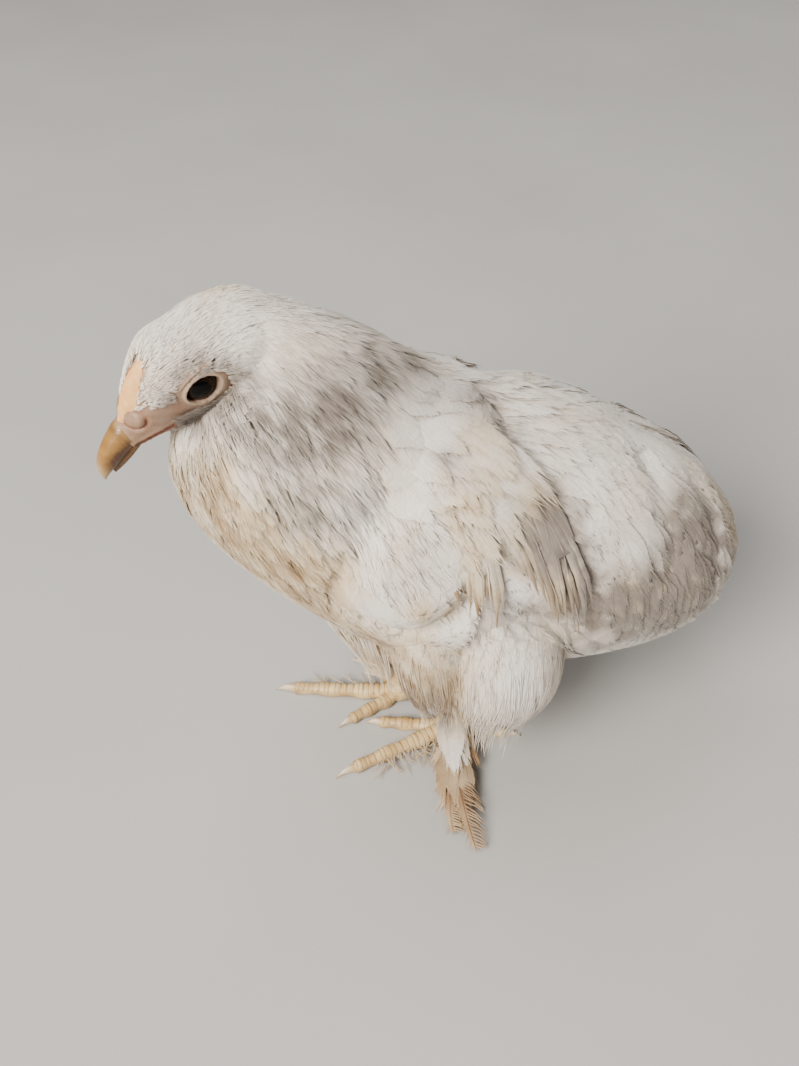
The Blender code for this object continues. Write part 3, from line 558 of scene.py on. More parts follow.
def tube(rings):
    """Points and triangles of a closed tube through an array of rings."""
    count, sides = rings.shape[:2]
    points = rings.reshape(-1, 3)
    faces = band(count, sides)
    ends = [points[:sides].mean(0), points[-sides:].mean(0)]
    first, last = len(points), len(points) + 1
    ring = np.arange(sides)
    base = (count - 1) * sides
    low = np.stack((np.full(sides, first), (ring + 1) % sides, ring), -1)
    high = np.stack((np.full(sides, last), base + ring, base + (ring + 1) % sides), -1)
    points, faces = np.concatenate([points, ends]), np.concatenate([faces, low, high])
    return points, outwards(points, faces)


def ball_points(centre, radius, segments, rings):
    """Points and triangles of a closed ball."""
    turn = np.radians(np.linspace(0, 360, segments, endpoint=False))
    rise = np.radians(np.linspace(-88, 88, rings))
    ring = np.stack((
        np.cos(rise)[:, None] * np.cos(turn), np.cos(rise)[:, None] * np.sin(turn),
        np.repeat(np.sin(rise)[:, None], segments, 1)
    ), -1)
    return tube(centre + ring * radius)


def combine(obj, others, operation):
    """Fuses or cuts obj with closed meshes, which are then removed."""
    for other in others:
        modifier = obj.modifiers.new("combine", "BOOLEAN")
        modifier.operation = operation
        modifier.solver = "MANIFOLD"
        modifier.object = other
        graph = bpy.context.evaluated_depsgraph_get()
        graph.update()
        mesh = bpy.data.meshes.new_from_object(obj.evaluated_get(graph))
        obj.modifiers.clear()
        obj.data = mesh
        bpy.data.objects.remove(other)


class Nodes:
    """Shorthand for a material's node tree. A value is a number, a colour or what another node puts out."""

    def __init__(self, name):
        self.material = bpy.data.materials.new(name)
        self.material.use_nodes = True
        self.tree = self.material.node_tree
        self.shader = self.tree.nodes["Principled BSDF"]

    def add(self, kind, values=None, **options):
        node = self.tree.nodes.new(kind)
        for key, value in options.items():
            setattr(node, key, value)
        for key, value in (values or {}).items():
            if isinstance(value, bpy.types.NodeSocket):
                self.tree.links.new(value, node.inputs[key])
            else:
                node.inputs[key].default_value = value
        return node

    def attribute(self, name):
        return self.add("ShaderNodeAttribute", attribute_name=name).outputs["Fac"]

    def noise(self, scale, detail=3.0, stretch=(1, 1, 1)):
        where = self.add("ShaderNodeTexCoord").outputs["Object"]
        mapped = self.add("ShaderNodeMapping", {"Vector": where, "Scale": stretch})
        values = {"Vector": mapped.outputs["Vector"], "Scale": scale, "Detail": detail}
        return self.add("ShaderNodeTexNoise", values).outputs["Fac"]

    def math(self, operation, a, b):
        return self.add("ShaderNodeMath", {0: a, 1: b}, operation=operation).outputs[0]

    def ramp(self, factor, stops):
        node = self.add("ShaderNodeValToRGB", {"Fac": factor})
        ramp = node.color_ramp
        while len(ramp.elements) < len(stops):
            ramp.elements.new(0.5)
        for element, (place, colour) in zip(ramp.elements, stops):
            element.position = place
            element.color = (*colour, 1) if len(colour) == 3 else colour
        return node.outputs["Color"]

    def mix(self, factor, a, b, blend="MIX"):
        node = self.add("ShaderNodeMix", data_type="RGBA", blend_type=blend)
        for key, value in ((0, factor), (6, a), (7, b)):
            if isinstance(value, bpy.types.NodeSocket):
                self.tree.links.new(value, node.inputs[key])
            else:
                node.inputs[key].default_value = value if key == 0 else (*value, 1)
        return node.outputs[2]

    def mottle(self, factor, a, b, low=0.3, high=0.7):
        """One colour up to a low factor and another from a high one, blended in between."""
        return self.ramp(factor, ((low, a), (high, b)))

    def set(self, name, value):
        if isinstance(value, bpy.types.NodeSocket):
            self.tree.links.new(value, self.shader.inputs[name])
        else:
            self.shader.inputs[name].default_value = value

    def rough(self, scale, low, high):
        """Roughness that wanders from place to place."""
        self.set("Roughness", self.mottle(self.noise(scale), (low,) * 3, (high,) * 3))

    def flesh(self, weight, radius):
        """Light that seeps through the skin."""
        self.set("Subsurface Weight", weight)
        self.set("Subsurface Radius", radius)
        self.set("Subsurface Scale", 0.6)

    def bump(self, height, strength, distance):
        node = self.add("ShaderNodeBump", {"Height": height, "Strength": strength, "Distance": distance})
        self.tree.links.new(node.outputs["Normal"], self.shader.inputs["Normal"])


WHITE = (0.90, 0.865, 0.815)
PALE_CREAM = (0.74, 0.60, 0.40)
CREAM = (0.50, 0.36, 0.205)
BUFF = (0.29, 0.165, 0.070)
# Beige grey of dust, and of painted shade.
DUST_AND_SHADE_COLOUR = (0.265, 0.220, 0.182)


def plumage_colour(nodes, stained):
    """The markings that skin and coat share: white, running to cream and buff where she is stained, and to
    beige grey with dust and painted shade.
    """
    patchy = nodes.math("MULTIPLY", stained, nodes.math("ADD", nodes.noise(90.0), 0.5))
    colour = nodes.ramp(patchy, ((0.0, WHITE), (0.35, PALE_CREAM), (0.65, CREAM), (1.0, BUFF)))
    # Dust, and painted shade where she lies in shadow, over the markings.
    dusty = nodes.math("MULTIPLY", nodes.attribute("dust"), nodes.math("ADD", nodes.noise(150.0, 4.0), 0.6))
    return nodes.mix(nodes.math("MINIMUM", dusty, 1.0), colour, DUST_AND_SHADE_COLOUR)


def coat_material(name="plumage", dark=0.86, root=0.82):
    """Feathers: darker at their roots as painted shade, from blade to blade by their shade, with fine lines of
    barbs.
    """
    nodes = Nodes(name)
    colour = plumage_colour(nodes, nodes.attribute("stain"))
    along, across = nodes.attribute("along"), nodes.attribute("across")
    # Painted shade at the roots, which lie under the feathers over them, up to full brightness at the tips.
    root_shade_colour = (root, root * 0.95, root * 0.89)
    deep = nodes.ramp(along, ((0.0, root_shade_colour), (0.5, (0.97, 0.96, 0.95)), (1.0, (1, 1, 1))))
    colour = nodes.mix(1.0, colour, deep, "MULTIPLY")
    dark_colour = (dark, dark * 0.975, dark * 0.94)
    shade = nodes.mottle(nodes.attribute("shade"), dark_colour, (1, 1, 1), 0.0, 1.0)
    colour = nodes.mix(1.0, colour, shade, "MULTIPLY")
    # The barbs of a vane, as fine lines that slant back from its shaft.
    slant = nodes.math("SUBTRACT", nodes.math("MULTIPLY", along, 46.0), nodes.math("MULTIPLY", across, 9.0))
    apart = nodes.math("MULTIPLY", nodes.attribute("tuft"), 90.0)
    where = nodes.add("ShaderNodeCombineXYZ", {"X": slant, "Y": apart})
    values = {"Vector": where.outputs["Vector"], "Scale": 1.0, "Detail": 2.0}
    lines = nodes.add("ShaderNodeTexNoise", values, noise_dimensions="2D").outputs["Fac"]
    fine = nodes.mottle(lines, (0.90, 0.88, 0.855), (1, 1, 1), 0.32, 0.62)
    colour = nodes.mix(1.0, colour, fine, "MULTIPLY")
    nodes.set("Base Color", colour)
    nodes.rough(300.0, 0.5, 0.68)
    nodes.set("Sheen Weight", 0.15)
    nodes.set("Specular IOR Level", 0.3)
    nodes.bump(lines, 0.25, 0.0002)
    return nodes.material


def skin_material():
    """The skin: marked as the plumage over it and darker, as painted shade in the gaps between feathers, and
    pinkish, flushed or pale where it is bare.
    """
    nodes = Nodes("skin")
    feathered_shaded = plumage_colour(nodes, nodes.attribute("stain"))
    # Darker than the coat: painted shade in the gaps between the feathers.
    feathered_shaded = nodes.mix(1.0, feathered_shaded, (0.86, 0.83, 0.79), "MULTIPLY")
    blotch = nodes.mottle(nodes.noise(420.0, 5.0), (0.23, 0.125, 0.070), (0.36, 0.225, 0.138))
    # Bare skin greyed by dust and by painted shade round the eyes and under the cheeks.
    blotch = nodes.mix(nodes.math("MULTIPLY", nodes.attribute("dust"), 0.7), blotch, (0.185, 0.120, 0.080))
    colour = nodes.mix(nodes.attribute("bare"), feathered_shaded, blotch)
    colour = nodes.mix(nodes.attribute("flush"), colour, (0.20, 0.06, 0.025))
    colour = nodes.mix(nodes.attribute("pale"), colour, (0.55, 0.44, 0.31))
    nodes.set("Base Color", colour)
    nodes.rough(900.0, 0.42, 0.62)
    nodes.flesh(0.08, (0.0010, 0.0006, 0.0004))
    nodes.bump(nodes.noise(2200.0, 4.0), 0.35, 0.0002)
    return nodes.material


def horn_material():
    nodes = Nodes("horn")
    base = nodes.mottle(nodes.noise(120.0, 4.0, (1, 1, 2.5)), (0.21, 0.092, 0.013), (0.35, 0.185, 0.042))
    colour = nodes.mix(nodes.attribute("pale"), base, (0.56, 0.40, 0.19))
    grime = nodes.math("MULTIPLY", nodes.attribute("grime"), nodes.math("ADD", nodes.noise(900.0, 4.0), 0.5))
    colour = nodes.mix(nodes.math("MINIMUM", grime, 1.0), colour, (0.075, 0.028, 0.010))
    nodes.set("Base Color", colour)
    nodes.rough(700.0, 0.26, 0.44)
    nodes.bump(nodes.noise(1400.0, 4.0, (1, 1, 3)), 0.25, 0.0002)
    return nodes.material


def scale_material():
    nodes = Nodes("scale")
    base = nodes.mottle(nodes.noise(150.0, 4.0), (0.42, 0.245, 0.070), (0.74, 0.56, 0.29))
    colour = nodes.mix(nodes.attribute("crease"), base, (0.36, 0.20, 0.065))
    colour = nodes.mix(nodes.attribute("grime"), colour, (0.26, 0.19, 0.13))
    nodes.set("Base Color", colour)
    nodes.rough(800.0, 0.40, 0.60)
    nodes.bump(nodes.noise(1600.0, 4.0), 0.3, 0.0002)
    return nodes.material


def claw_material():
    nodes = Nodes("claw")
    stops = ((0.0, (0.62, 0.44, 0.22)), (0.5, (0.72, 0.60, 0.42)), (1.0, (0.42, 0.27, 0.15)))
    streaks = nodes.mottle(nodes.noise(500.0, 4.0), (0.82, 0.80, 0.78), (1, 1, 1))
    nodes.set("Base Color", nodes.mix(1.0, nodes.ramp(nodes.attribute("along"), stops), streaks, "MULTIPLY"))
    nodes.rough(900.0, 0.26, 0.42)
    return nodes.material


def comb_material():
    nodes = Nodes("comb")
    colour = nodes.mottle(nodes.noise(420.0, 5.0), (0.72, 0.335, 0.095), (0.82, 0.48, 0.200), 0.25, 0.75)
    nodes.set("Base Color", colour)
    nodes.rough(900.0, 0.42, 0.60)
    nodes.flesh(0.15, (0.0015, 0.0007, 0.0004))
    nodes.bump(nodes.noise(1500.0, 4.0), 0.4, 0.0003)
    return nodes.material


def eye_material():
    """A very dark eye: pupil, brown iris and the white by the angle from the eye's axis."""
    nodes = Nodes("eye")
    ring = nodes.ramp(nodes.attribute("iris"), (
        (0.0, (0.002, 0.002, 0.002)), (0.50, (0.002, 0.002, 0.002)), (0.53, (0.016, 0.008, 0.004)),
        (0.72, (0.028, 0.015, 0.008)), (0.80, (0.012, 0.007, 0.005)), (0.90, (0.06, 0.045, 0.035))
    ))
    flecks = nodes.mottle(nodes.noise(2500.0, 5.0), (0.6, 0.6, 0.6), (1, 1, 1))
    nodes.set("Base Color", nodes.mix(1.0, ring, flecks, "MULTIPLY"))
    nodes.rough(1500.0, 0.16, 0.24)
    nodes.set("Specular IOR Level", 0.08)
    nodes.set("Coat Weight", 0.05)
    nodes.set("Coat Roughness", 0.06)
    return nodes.material


def floor_material():
    nodes = Nodes("floor")
    nodes.set("Base Color", nodes.mottle(nodes.noise(6.0), (0.40, 0.385, 0.36), (0.44, 0.425, 0.40)))
    nodes.set("Roughness", 0.8)
    return nodes.material


# The skin


def head_skin():
    """The head with its folds, cere, nostrils and the line of the mouth, as a closed tube of fine rings."""
    a, t = grid(np.concatenate([np.arange(23.6, 8.0, -0.3), np.arange(8.0, -26.2, -0.5)]), 150)
    bare = smooth(a, 2.0, 12.0)
    depth = 1.5 * (1 - bare) * smooth(np.abs(a) + 4 * (np.sin(np.radians(t)) > 0.55), 4.0, 9.0)
    points = head_at(a, t, -depth)
    centre = head_point(a, 0 * a, np.interp(-a, -HEAD_RINGS[:, 0], HEAD_RINGS[:, 1]))
    outward = unit(points - centre)
    _, _, up = in_head(points)
    side = np.abs(np.cos(np.radians(t)))
    # The line of the mouth, between soft rims.
    over = up - gape_level(a)
    mouth = smooth(a, GAPE_BACK - 2.5, GAPE_BACK + 1)
    move = -0.75 * mouth * bell(over / 0.33)
    move += 0.35 * mouth * (bell((over - 0.95) / 0.55) + bell((over + 0.9) / 0.5))
    # The flap over the nostril, the groove round it, and the uneven cere.
    oval = nostril_away(a, up)
    move += side * 0.95 * (1 - smooth(oval, 0.35, 1.0))
    front = smooth(a - 0.9 * (up - NOSTRIL[1]), 15.5, 18.0)
    move -= side * 0.75 * front * bell((oval - 1.02) / 0.16)
    move += 0.10 * ripple(points, 2.6, 11) * smooth(a, 4, 10)
    points = points + outward * move[..., None]
    # The lids bulge over the eyes, in fine folds. Behind them is the opening of the ear.
    lid = EYE_RADIUS + 0.85
    for sign in (1, -1):
        eye = by_eye(sign)
        away = points - eye
        far = np.linalg.norm(away, axis=-1)
        pushed = far + 0.7 * np.log1p(np.exp((lid - far) / 0.7)) * smooth(10 - far, 0, 4)
        points = eye + away / far[..., None] * np.where(far < 10, pushed, far)[..., None]
        ea, eo, eu = in_head(points)
        rho = eye_away(ea, eu, 1.25)
        near = (sign * eo > 6) * smooth(rho, 2.6, 3.6) * (1 - smooth(rho, 6.0, 8.5))
        fold = 0.12 * np.sin(rho * 2 * math.pi / 0.95 + 0.8 * ripple(points, 6.0, 2)) * near
        points = points + unit(points - eye) * fold[..., None]
        ear = np.hypot((ea - EAR[0]) / 2.2, (eu - EAR[1]) / 4.2) * (1 + 9 * (sign * eo < 5))
        points = points + outward * (0.9 * bell((ear - 1.0) / 0.3) - 0.8 * bell(ear / 0.6))[..., None]
    return tube(points)


def almond(scale, radius, count=48):
    """Points round the edge of the lids, on a ball round the eye."""
    turn = turns(count)
    along = LID_LENGTH / 2 * scale * np.cos(turn)
    rise = LID_HEIGHT / 2 * scale * np.copysign(np.abs(np.sin(turn)) ** 1.15, np.sin(turn))
    return along, np.sqrt(np.maximum(radius**2 - along**2 - rise**2, 0.01)), rise


def lid_rim(sign, scale, radius, thick):
    """A closed ring of soft skin round the opening of the eye."""
    along, out, rise = almond(scale, radius, 72)
    path, eye = by_eye(sign, along, out, rise), by_eye(sign)
    ahead = unit(np.roll(path, -1, 0) - np.roll(path, 1, 0))
    out_way = unit(path - eye)
    side = np.cross(ahead, out_way)
    turn = turns(10)
    wobble = thick * (1 + 0.12 * ripple(path, 3.0, int(scale * 10)))[:, None, None]
    round_path = np.cos(turn)[:, None] * side[:, None] + np.sin(turn)[:, None] * out_way[:, None]
    ring = path[:, None] + wobble * round_path
    points = ring.reshape(-1, 3)
    return points, outwards(points, band(*ring.shape[:2], closed=True), eye)


def face_colours(points):
    """How bare the skin of the face is, how flushed and how pale."""
    a, out, up = in_head(points)
    in_face = (np.abs(out) < 17) & (a < 30) & (a > -30) & (up > -22) & (up < 18)
    aside = np.abs(out) > 6
    rho = eye_away(a, up, 1.25) + 30 * (np.abs(out) < 6)
    under = under_eye(a, up) + 30 * (np.abs(out) < 5)
    round_eye = 1 - smooth(np.minimum(rho - 5.0, 3 * (under - 0.8)), 0.0, 3.0)
    mouth = smooth(a, 4, 8) * bell((up - gape_level(a) + 0.5) / 1.2)
    behind = soft_spot(a, up, (-6.5, 4.6), (2.4, 1.6)) * aside
    front = soft_spot(a, up, (7.0, -0.5), (1.6, 1.8)) * aside
    ear = soft_spot(a, up, EAR, (2.2, 4.0)) * aside
    groove = bell((nostril_away(a, up) - 1.02) / 0.2) * (np.abs(out) > 1.5) * (0.25 + 0.5 * (up < NOSTRIL[1]))
    return {
        "bare": in_face * np.maximum(smooth(a, 5, 9), round_eye),
        "flush": np.clip(in_face * (1.2 * mouth + 0.8 * behind + 0.35 * front + 0.6 * ear + groove), 0, 1),
        "pale": in_face * bell((rho - 4.1) / 0.3) * 0.5,
    }


def make_skin(material):
    """One skin under the coat: head, neck, body and thighs fused, with open lids."""
    plain = bpy.data.materials.new("cutter")
    share, turn = grid(np.linspace(0.0, 1, 110), 110)
    rings = body_at(share, turn, -2.6 + 0 * share)
    end = rings[-1].mean(0)
    rings = np.concatenate([rings, [end + (rings[-1] - end) * 0.6 + (0, 2.0, 0)]])
    skin = add_mesh("skin", *tube(rings), material)
    parts = [add_mesh("head_form", *head_skin(), plain)]
    for lobes in LOBES.values():
        for rows in lobes:
            share, turn = grid(np.linspace(0, 0.86, 30), 40)
            parts.append(add_mesh("lobe_form", *tube(lobe_at(rows)(share, turn, -2.4 - 1.5 * share)), plain))
    combine(skin, parts, "UNION")
    cutters, rims = [], []
    for sign in (1, -1):
        rings = []
        for out, wider in ((1.0, 0.9), (EYE_RADIUS + 6, 1.12)):
            along, _, rise = almond(wider, EYE_RADIUS)
            rings.append(by_eye(sign, along, out, rise))
        cutters.append(add_mesh("opening", *tube(np.array(rings)), plain))
        cutters.append(add_mesh("socket", *ball_points(by_eye(sign), EYE_RADIUS + 0.08, 64, 40), plain))
        for scale, over, thick in LID_RIMS:
            rims.append(add_mesh("rim", *lid_rim(sign, scale, EYE_RADIUS + over, thick), plain))
    combine(skin, cutters, "DIFFERENCE")
    combine(skin, rims, "UNION")
    mesh = skin.data
    mesh.materials.clear()
    mesh.materials.append(material)
    points = np.empty(len(mesh.vertices) * 3, np.float32)
    mesh.vertices.foreach_get("co", points)
    points = points.reshape(-1, 3) / MM + SHIFT
    values = face_colours(points)
    # Stains, and dust with painted shade, as the coat carries them.
    values.update(stain=stain(points), dust=dust(points))
    for key in ("bare", "flush", "pale", "stain", "dust"):
        layer = mesh.attributes.new(key, "FLOAT", "POINT")
        layer.data.foreach_set("value", values[key].astype(np.float32))
    mesh.polygons.foreach_set("use_smooth", np.ones(len(mesh.polygons), bool))
    bpy.data.materials.remove(plain)
    SKIN.append(BVHTree.FromPolygons(points.tolist(), [list(face.vertices) for face in mesh.polygons]))
    keep(skin, "skin", "head", "neck", "torso", "rump")


# Feathers: each template's rows are the place along the feather, the share of its half width, and offsets
# along, across and outwards in millimetres.


def oriented(rows, faces, size):
    """A closed piece of a template with its faces turned outwards."""
    rows, faces = np.array(rows, float), np.array(faces)
    local = np.stack((rows[:, 1] * size[1] + rows[:, 3], rows[:, 0] * size[0] + rows[:, 2], rows[:, 4]), -1)
    return rows, outwards(local, faces, local.mean(0))


def barb(path_t, path_w, half, tall, size, lift=0.0, rise=0.0):
    """One closed tapered blade along a line of the feather."""
    t, w = np.asarray(path_t, float), np.asarray(path_w, float)
    way = unit(np.stack((np.gradient(t) * size[0], np.gradient(w) * size[1]), -1))
    across = np.stack((-way[:, 1], way[:, 0]), -1)
    sections = len(t) - 1
    q = np.arange(sections + 1) / sections
    rows = []
    for i in range(sections):
        b = half * (1 - 0.6 * q[i] ** 1.5)
        for s, high in ((-1, 0), (1, 0), (0, tall)):
            aside = across[i] * b * s
            rows.append((t[i], w[i], aside[0], aside[1], lift + rise * q[i] + high, BARB))
    rows.append((t[-1], w[-1], 0, 0, lift + rise + tall * 0.3, BARB))
    faces = [(0, 1, 2)]
    for i in range(sections - 1):
        for a, b in ((0, 1), (1, 2), (2, 0)):
            m, n = 3 * i, 3 * i + 3
            faces += [(m + a, n + a, n + b), (m + a, n + b, m + b)]
    m, tip = 3 * (sections - 1), 3 * sections
    faces += [(m, tip, m + 1), (m + 1, tip, m + 2), (m + 2, tip, m)]
    return oriented(rows, faces, size)


def leaf(size, stops, width, columns=5, camber=0.15, thick=0.10, lift=0.0):
    """A closed thin vane: rows of points across it, over one line of points underneath."""
    across = np.linspace(-1, 1, columns)
    rows, faces, n = [], [], columns + 1
    for t in stops:
        for w in across:
            rows.append((t, w * width(t, w), 0, 0, lift + camber * (1 - w * w), RIM if abs(w) == 1 else VANE))
        rows.append((t, 0, 0, 0, lift - thick, VANE))
    for i in range(len(stops) - 1):
        a, b = i * n, (i + 1) * n
        for j in range(columns - 1):
            faces += [(a + j, a + j + 1, b + j + 1), (a + j, b + j + 1, b + j)]
        c, d = a + columns, b + columns
        faces += [(a, b, d), (a, d, c), (c, d, d - 1), (c, d - 1, c - 1)]
    last = (len(stops) - 1) * n
    for j in range(columns - 1):
        faces.append((columns, j + 1, j))
        faces.append((last + columns, last + j, last + j + 1))
    return oriented(rows, faces, size)


def gather(pieces):
    """One template from pieces, each with its shade."""
    rows, faces, shades, start = [], [], [], 0
    for (piece_rows, piece_faces), shade in pieces:
        rows.append(piece_rows)
        faces.append(piece_faces + start)
        shades.append(np.full(len(piece_rows), shade))
        start += len(piece_rows)
    return np.concatenate(rows), np.concatenate(faces), np.concatenate(shades)


def outline(t, fullest=0.6, power=0.5, root=0.35):
    """Half width along a feather, from 0 to 1."""
    rise = np.clip(t / fullest, 0, 1)
    fall = np.clip((1.03 - t) / (1.03 - fullest), 0, 1)
    return (root + (1 - root) * rise**0.8) * fall**power


def soft_template(rng, size, needles, segments=8, hair=2.6, half=0.16, fullest=0.6, power=0.5, columns=5,
                  loose=1.0, strands=0, thick=0.10, rim=0.55, clumps=7):
    """A soft feather: a smooth vane that parts at its end and frays into fine barbs all round its rim."""
    bend = rng.normal() * 0.12
    lean = rng.normal(size=4) * 0.08

    def width(t, w):
        side = 1 + lean[0] * np.sign(w) + lean[1 + int(w > 0)] * math.sin(6 * t + 9 * lean[3])
        return outline(t, fullest, power) * side * (1 - 0.62 * smooth(t, 0.62, 0.94)) + bend * w * t * t * 0.3

    stops = np.concatenate([np.linspace(0, 0.72, segments - 2, endpoint=False), (0.72, 0.82, 0.90)])
    pieces = [(leaf(size, stops, width, columns, 0.12, thick), 0.6)]
    # Pointed locks that the end of the vane parts into.
    for k in range(clumps):
        aim = (k + rng.uniform(0.15, 0.85)) / clumps * 2 - 1
        t0 = 0.42 + 0.25 * (1 - abs(aim)) + 0.06 * rng.normal()
        t1 = 1.0 - 0.20 * aim * aim + rng.normal() * 0.035 * loose
        w1 = aim * 0.92 * outline(min(t1, 0.97), 0.62, 0.45) + 0.08 * rng.normal() * loose
        w0 = aim * 0.45
        t = (t0, (t0 + t1) / 2, t1)
        w = (w0, w0 * 0.35 + w1 * 0.65, w1)
        broad = size[1] * 0.30 * rng.uniform(0.75, 1.25)
        lock = barb(t, w, broad, 0.10, size, 0.05 * (k % 3), 0.12 * loose * rng.random())
        pieces.append((lock, rng.uniform(0.3, 0.9)))
    # Fine barbs all round its rim, in bunches of four that lean and shade alike.
    pull, shade = 0, 0.6
    for k in range(needles):
        if k % 4 == 0:
            pull, shade = rng.normal() * 0.5 * loose, rng.uniform(0.3, 1)
        around = (k + rng.uniform(0.1, 0.9)) / needles * 2 - 1
        side = math.copysign(1, around)
        t0 = 0.97 - rim * abs(around) ** 1.15
        w0 = side * outline(t0, fullest, power) * (0.90 - 0.35 * smooth(t0, 0.7, 0.95))
        long = hair * rng.uniform(0.45, 1.15) * (1.0 - 0.35 * abs(around))
        slope = math.radians(34 * abs(around) ** 0.8 + 6 * pull)
        t1 = t0 + long * math.cos(slope) / size[0]
        w1 = w0 + side * long * math.sin(slope) / size[1]
        t0 -= 0.9 * math.cos(slope) / size[0]
        w0 -= side * 0.9 * math.sin(slope) / size[1]
        blade = barb((t0, t1), (w0, w1), half * rng.uniform(0.8, 1.2), 0.06, size, 0.04, rng.normal() * 0.12)
        pieces.append((blade, np.clip(shade + rng.normal() * 0.15, 0, 1)))
    # Longer barbs that stray over the vane.
    for _ in range(strands):
        side = rng.choice((-1, 1))
        t0 = rng.uniform(0.15, 0.7)
        long = rng.uniform(0.22, 0.42)
        w0 = side * rng.uniform(0, 0.5)
        w1 = w0 + side * rng.uniform(0.12, 0.55)
        lift = 0.10 + 0.1 * rng.random()
        t, w = (t0, t0 + long * 0.5, t0 + long), (w0, (w0 * 0.4 + w1 * 0.6), w1)
        blade = barb(t, w, half, 0.06, size, lift, rng.uniform(0, 0.35) * loose)
        pieces.append((blade, rng.uniform(0, 1)))
    return gather(pieces)


def strand_template(rng, size, strands, half=0.17, spread=1.0, sections=3, wave=0.15, rise=0.5, gathered=0.0):
    """A tuft of separate silky filaments, which part or gather towards their ends."""
    pieces = []
    for _ in range(strands):
        begin, end = rng.uniform(0, 0.25), rng.uniform(0.75, 1.05)
        q = np.linspace(0, 1, sections + 1)
        aim = rng.normal() * 0.5 * spread
        bend = wave * (np.sin(q * math.pi * rng.uniform(0.8, 1.6) + rng.uniform(0, 6)) - 0.3) * q
        from_shaft = rng.normal() * (0.28 + 0.3 * gathered) * spread * (1 - 0.8 * gathered * q)
        w = from_shaft + aim * q * (1 - gathered) + bend
        t = begin + (end - begin) * q
        lift = rng.uniform(-0.1, 0.25)
        blade = barb(t, w, half * rng.uniform(0.7, 1.2), half * 0.45, size, lift, rise * rng.random())
        pieces.append((blade, rng.uniform(0, 1)))
    return gather(pieces)


def ragged_template(rng, size, clumps=9, fullest=0.45, power=0.45, solid=0.72, split=1.0, shaft=0.28,
                    narrow=0.8, hairs=3, worn=0.35):
    """A worn feather of the wing: a shaft, a smooth vane, and an edge that parts into pointed strands."""
    wave = rng.uniform(0, 6)

    def width(t, w):
        side = narrow if w < 0 else 1.0
        waves = 1 + 0.05 * math.sin(17 * t + wave + 2 * np.sign(w))
        return outline(t, fullest, power, 0.55) * side * 0.86 * waves

    def shrunk(t, w):
        return width(t, w) * (1.0 if t < solid * 0.8 else 1 - 0.8 * (t - solid * 0.8) / (1 - solid * 0.8))

    stops = np.concatenate([np.linspace(0, solid, 9), (solid + 0.05, solid + 0.10)])
    pieces = [(leaf(size, stops, shrunk, 7, 0.22, 0.12), 0.6)]
    pieces.append((barb((0, 0.3, 0.6, 0.85, 0.97), (0, 0, 0, 0, 0), shaft, shaft * 1.1, size, 0.15), 0.9))
    for side in (-1, 1):
        wide = narrow if side < 0 else 1.0
        for k in range(clumps):
            f = (k + rng.uniform(0.2, 0.8)) / clumps
            t0 = 0.22 + (solid - 0.24) * f
            end = min(t0 + 0.24 + 0.16 * f, 1.0) + rng.normal() * (0.018 + 0.03 * f) * split
            end = min(end, 1.06)
            reach = wide * outline(min(end, 0.97), fullest, power, 0.55) * rng.uniform(0.8, 1.15)
            reach = max(reach, 0.10 + worn * rng.random())
            q = np.linspace(0, 1, 5)
            t = t0 + (end - t0) * q
            w = side * (0.15 + (reach - 0.15) * (1 - (1 - q) ** 1.7))
            broad = size[0] * 0.034 * rng.uniform(0.8, 1.25) * (1 - 0.35 * f)
            shade = rng.uniform(0.25, 0.95)
            lock = barb(t, w, broad, 0.16, size, 0.06 + 0.05 * (k % 2), 0.25 * rng.random() * split)
            pieces.append((lock, shade))
            for _ in range(hairs):
                begin = rng.integers(1, 4)
                go = rng.normal() * 0.05 * split
                hair_t, hair_w = (t[begin], t[4] + rng.normal() * 0.02), (w[begin], w[4] + go)
                hair = barb(hair_t, hair_w, 0.15, 0.12, size, 0.15, 0.2 * rng.random())
                pieces.append((hair, np.clip(shade + rng.normal() * 0.2, 0, 1)))
    return gather(pieces)


def march(surface, u, v, lie, length, heights, limits, steps=6, eps=(0.004, 1.0), droop=0.0):
    """Paths of feathers over a surface, and what is outward there.

    They start at u and v and follow the lie of the coat. heights are over the surface from root to tip,
    limits are those of u, past which they fly straight on with some droop, and eps is for slopes.
    """
    def level(k):
        return np.interp(k / steps, np.linspace(0, 1, len(heights)), heights) + 0 * u

    u, v = np.clip(u, *limits).astype(float), v.astype(float)
    step = length / steps
    here = surface(u, v, level(0))
    paths, outs = [here], []
    last_surface, way = here, None
    for k in range(steps + 1):
        h = level(k)
        low_u, high_u = np.maximum(u - eps[0], limits[0]), np.minimum(u + eps[0], limits[1])
        along = (surface(high_u, v, h) - surface(low_u, v, h)) / (high_u - low_u)[:, None]
        around = (surface(u, v + eps[1], h) - surface(u, v - eps[1], h)) / (2 * eps[1])
        outs.append(unit(surface(u, v, h + 1) - surface(u, v, h)))
        if k == steps:
            break
        aim = lie(u, v, here, unit(along))
        aa, bb, ab = (along**2).sum(-1), (around**2).sum(-1), (along * around).sum(-1)
        pa, pb = (along * aim).sum(-1), (around * aim).sum(-1)
        det = np.maximum(aa * bb - ab**2, 1e-9)
        du, dv = (pa * bb - pb * ab) / det, (pb * aa - pa * ab) / det
        world = along * du[:, None] + around * dv[:, None]
        size = step / np.maximum(np.linalg.norm(world, axis=-1), 1e-6)
        inside = (u + du * size > limits[0]) & (u + du * size < limits[1])
        next_u, next_v = np.clip(u + du * size, *limits), v + dv * size
        target = surface(next_u, next_v, level(k + 1))
        fly = unit(world) if way is None else unit(way + np.array((0, 0, -droop)))
        move = np.where(inside[:, None], target - last_surface, fly * step[:, None])
        way = unit(move)
        here = here + move
        last_surface, u, v = target, np.where(inside, next_u, u), np.where(inside, next_v, v)
        paths.append(here)
    return np.stack(paths, 1), np.stack(outs, 1)


PATCH = (0.0012, 0.0026)  # how wide and long the patch of one feather is on the OFBake map


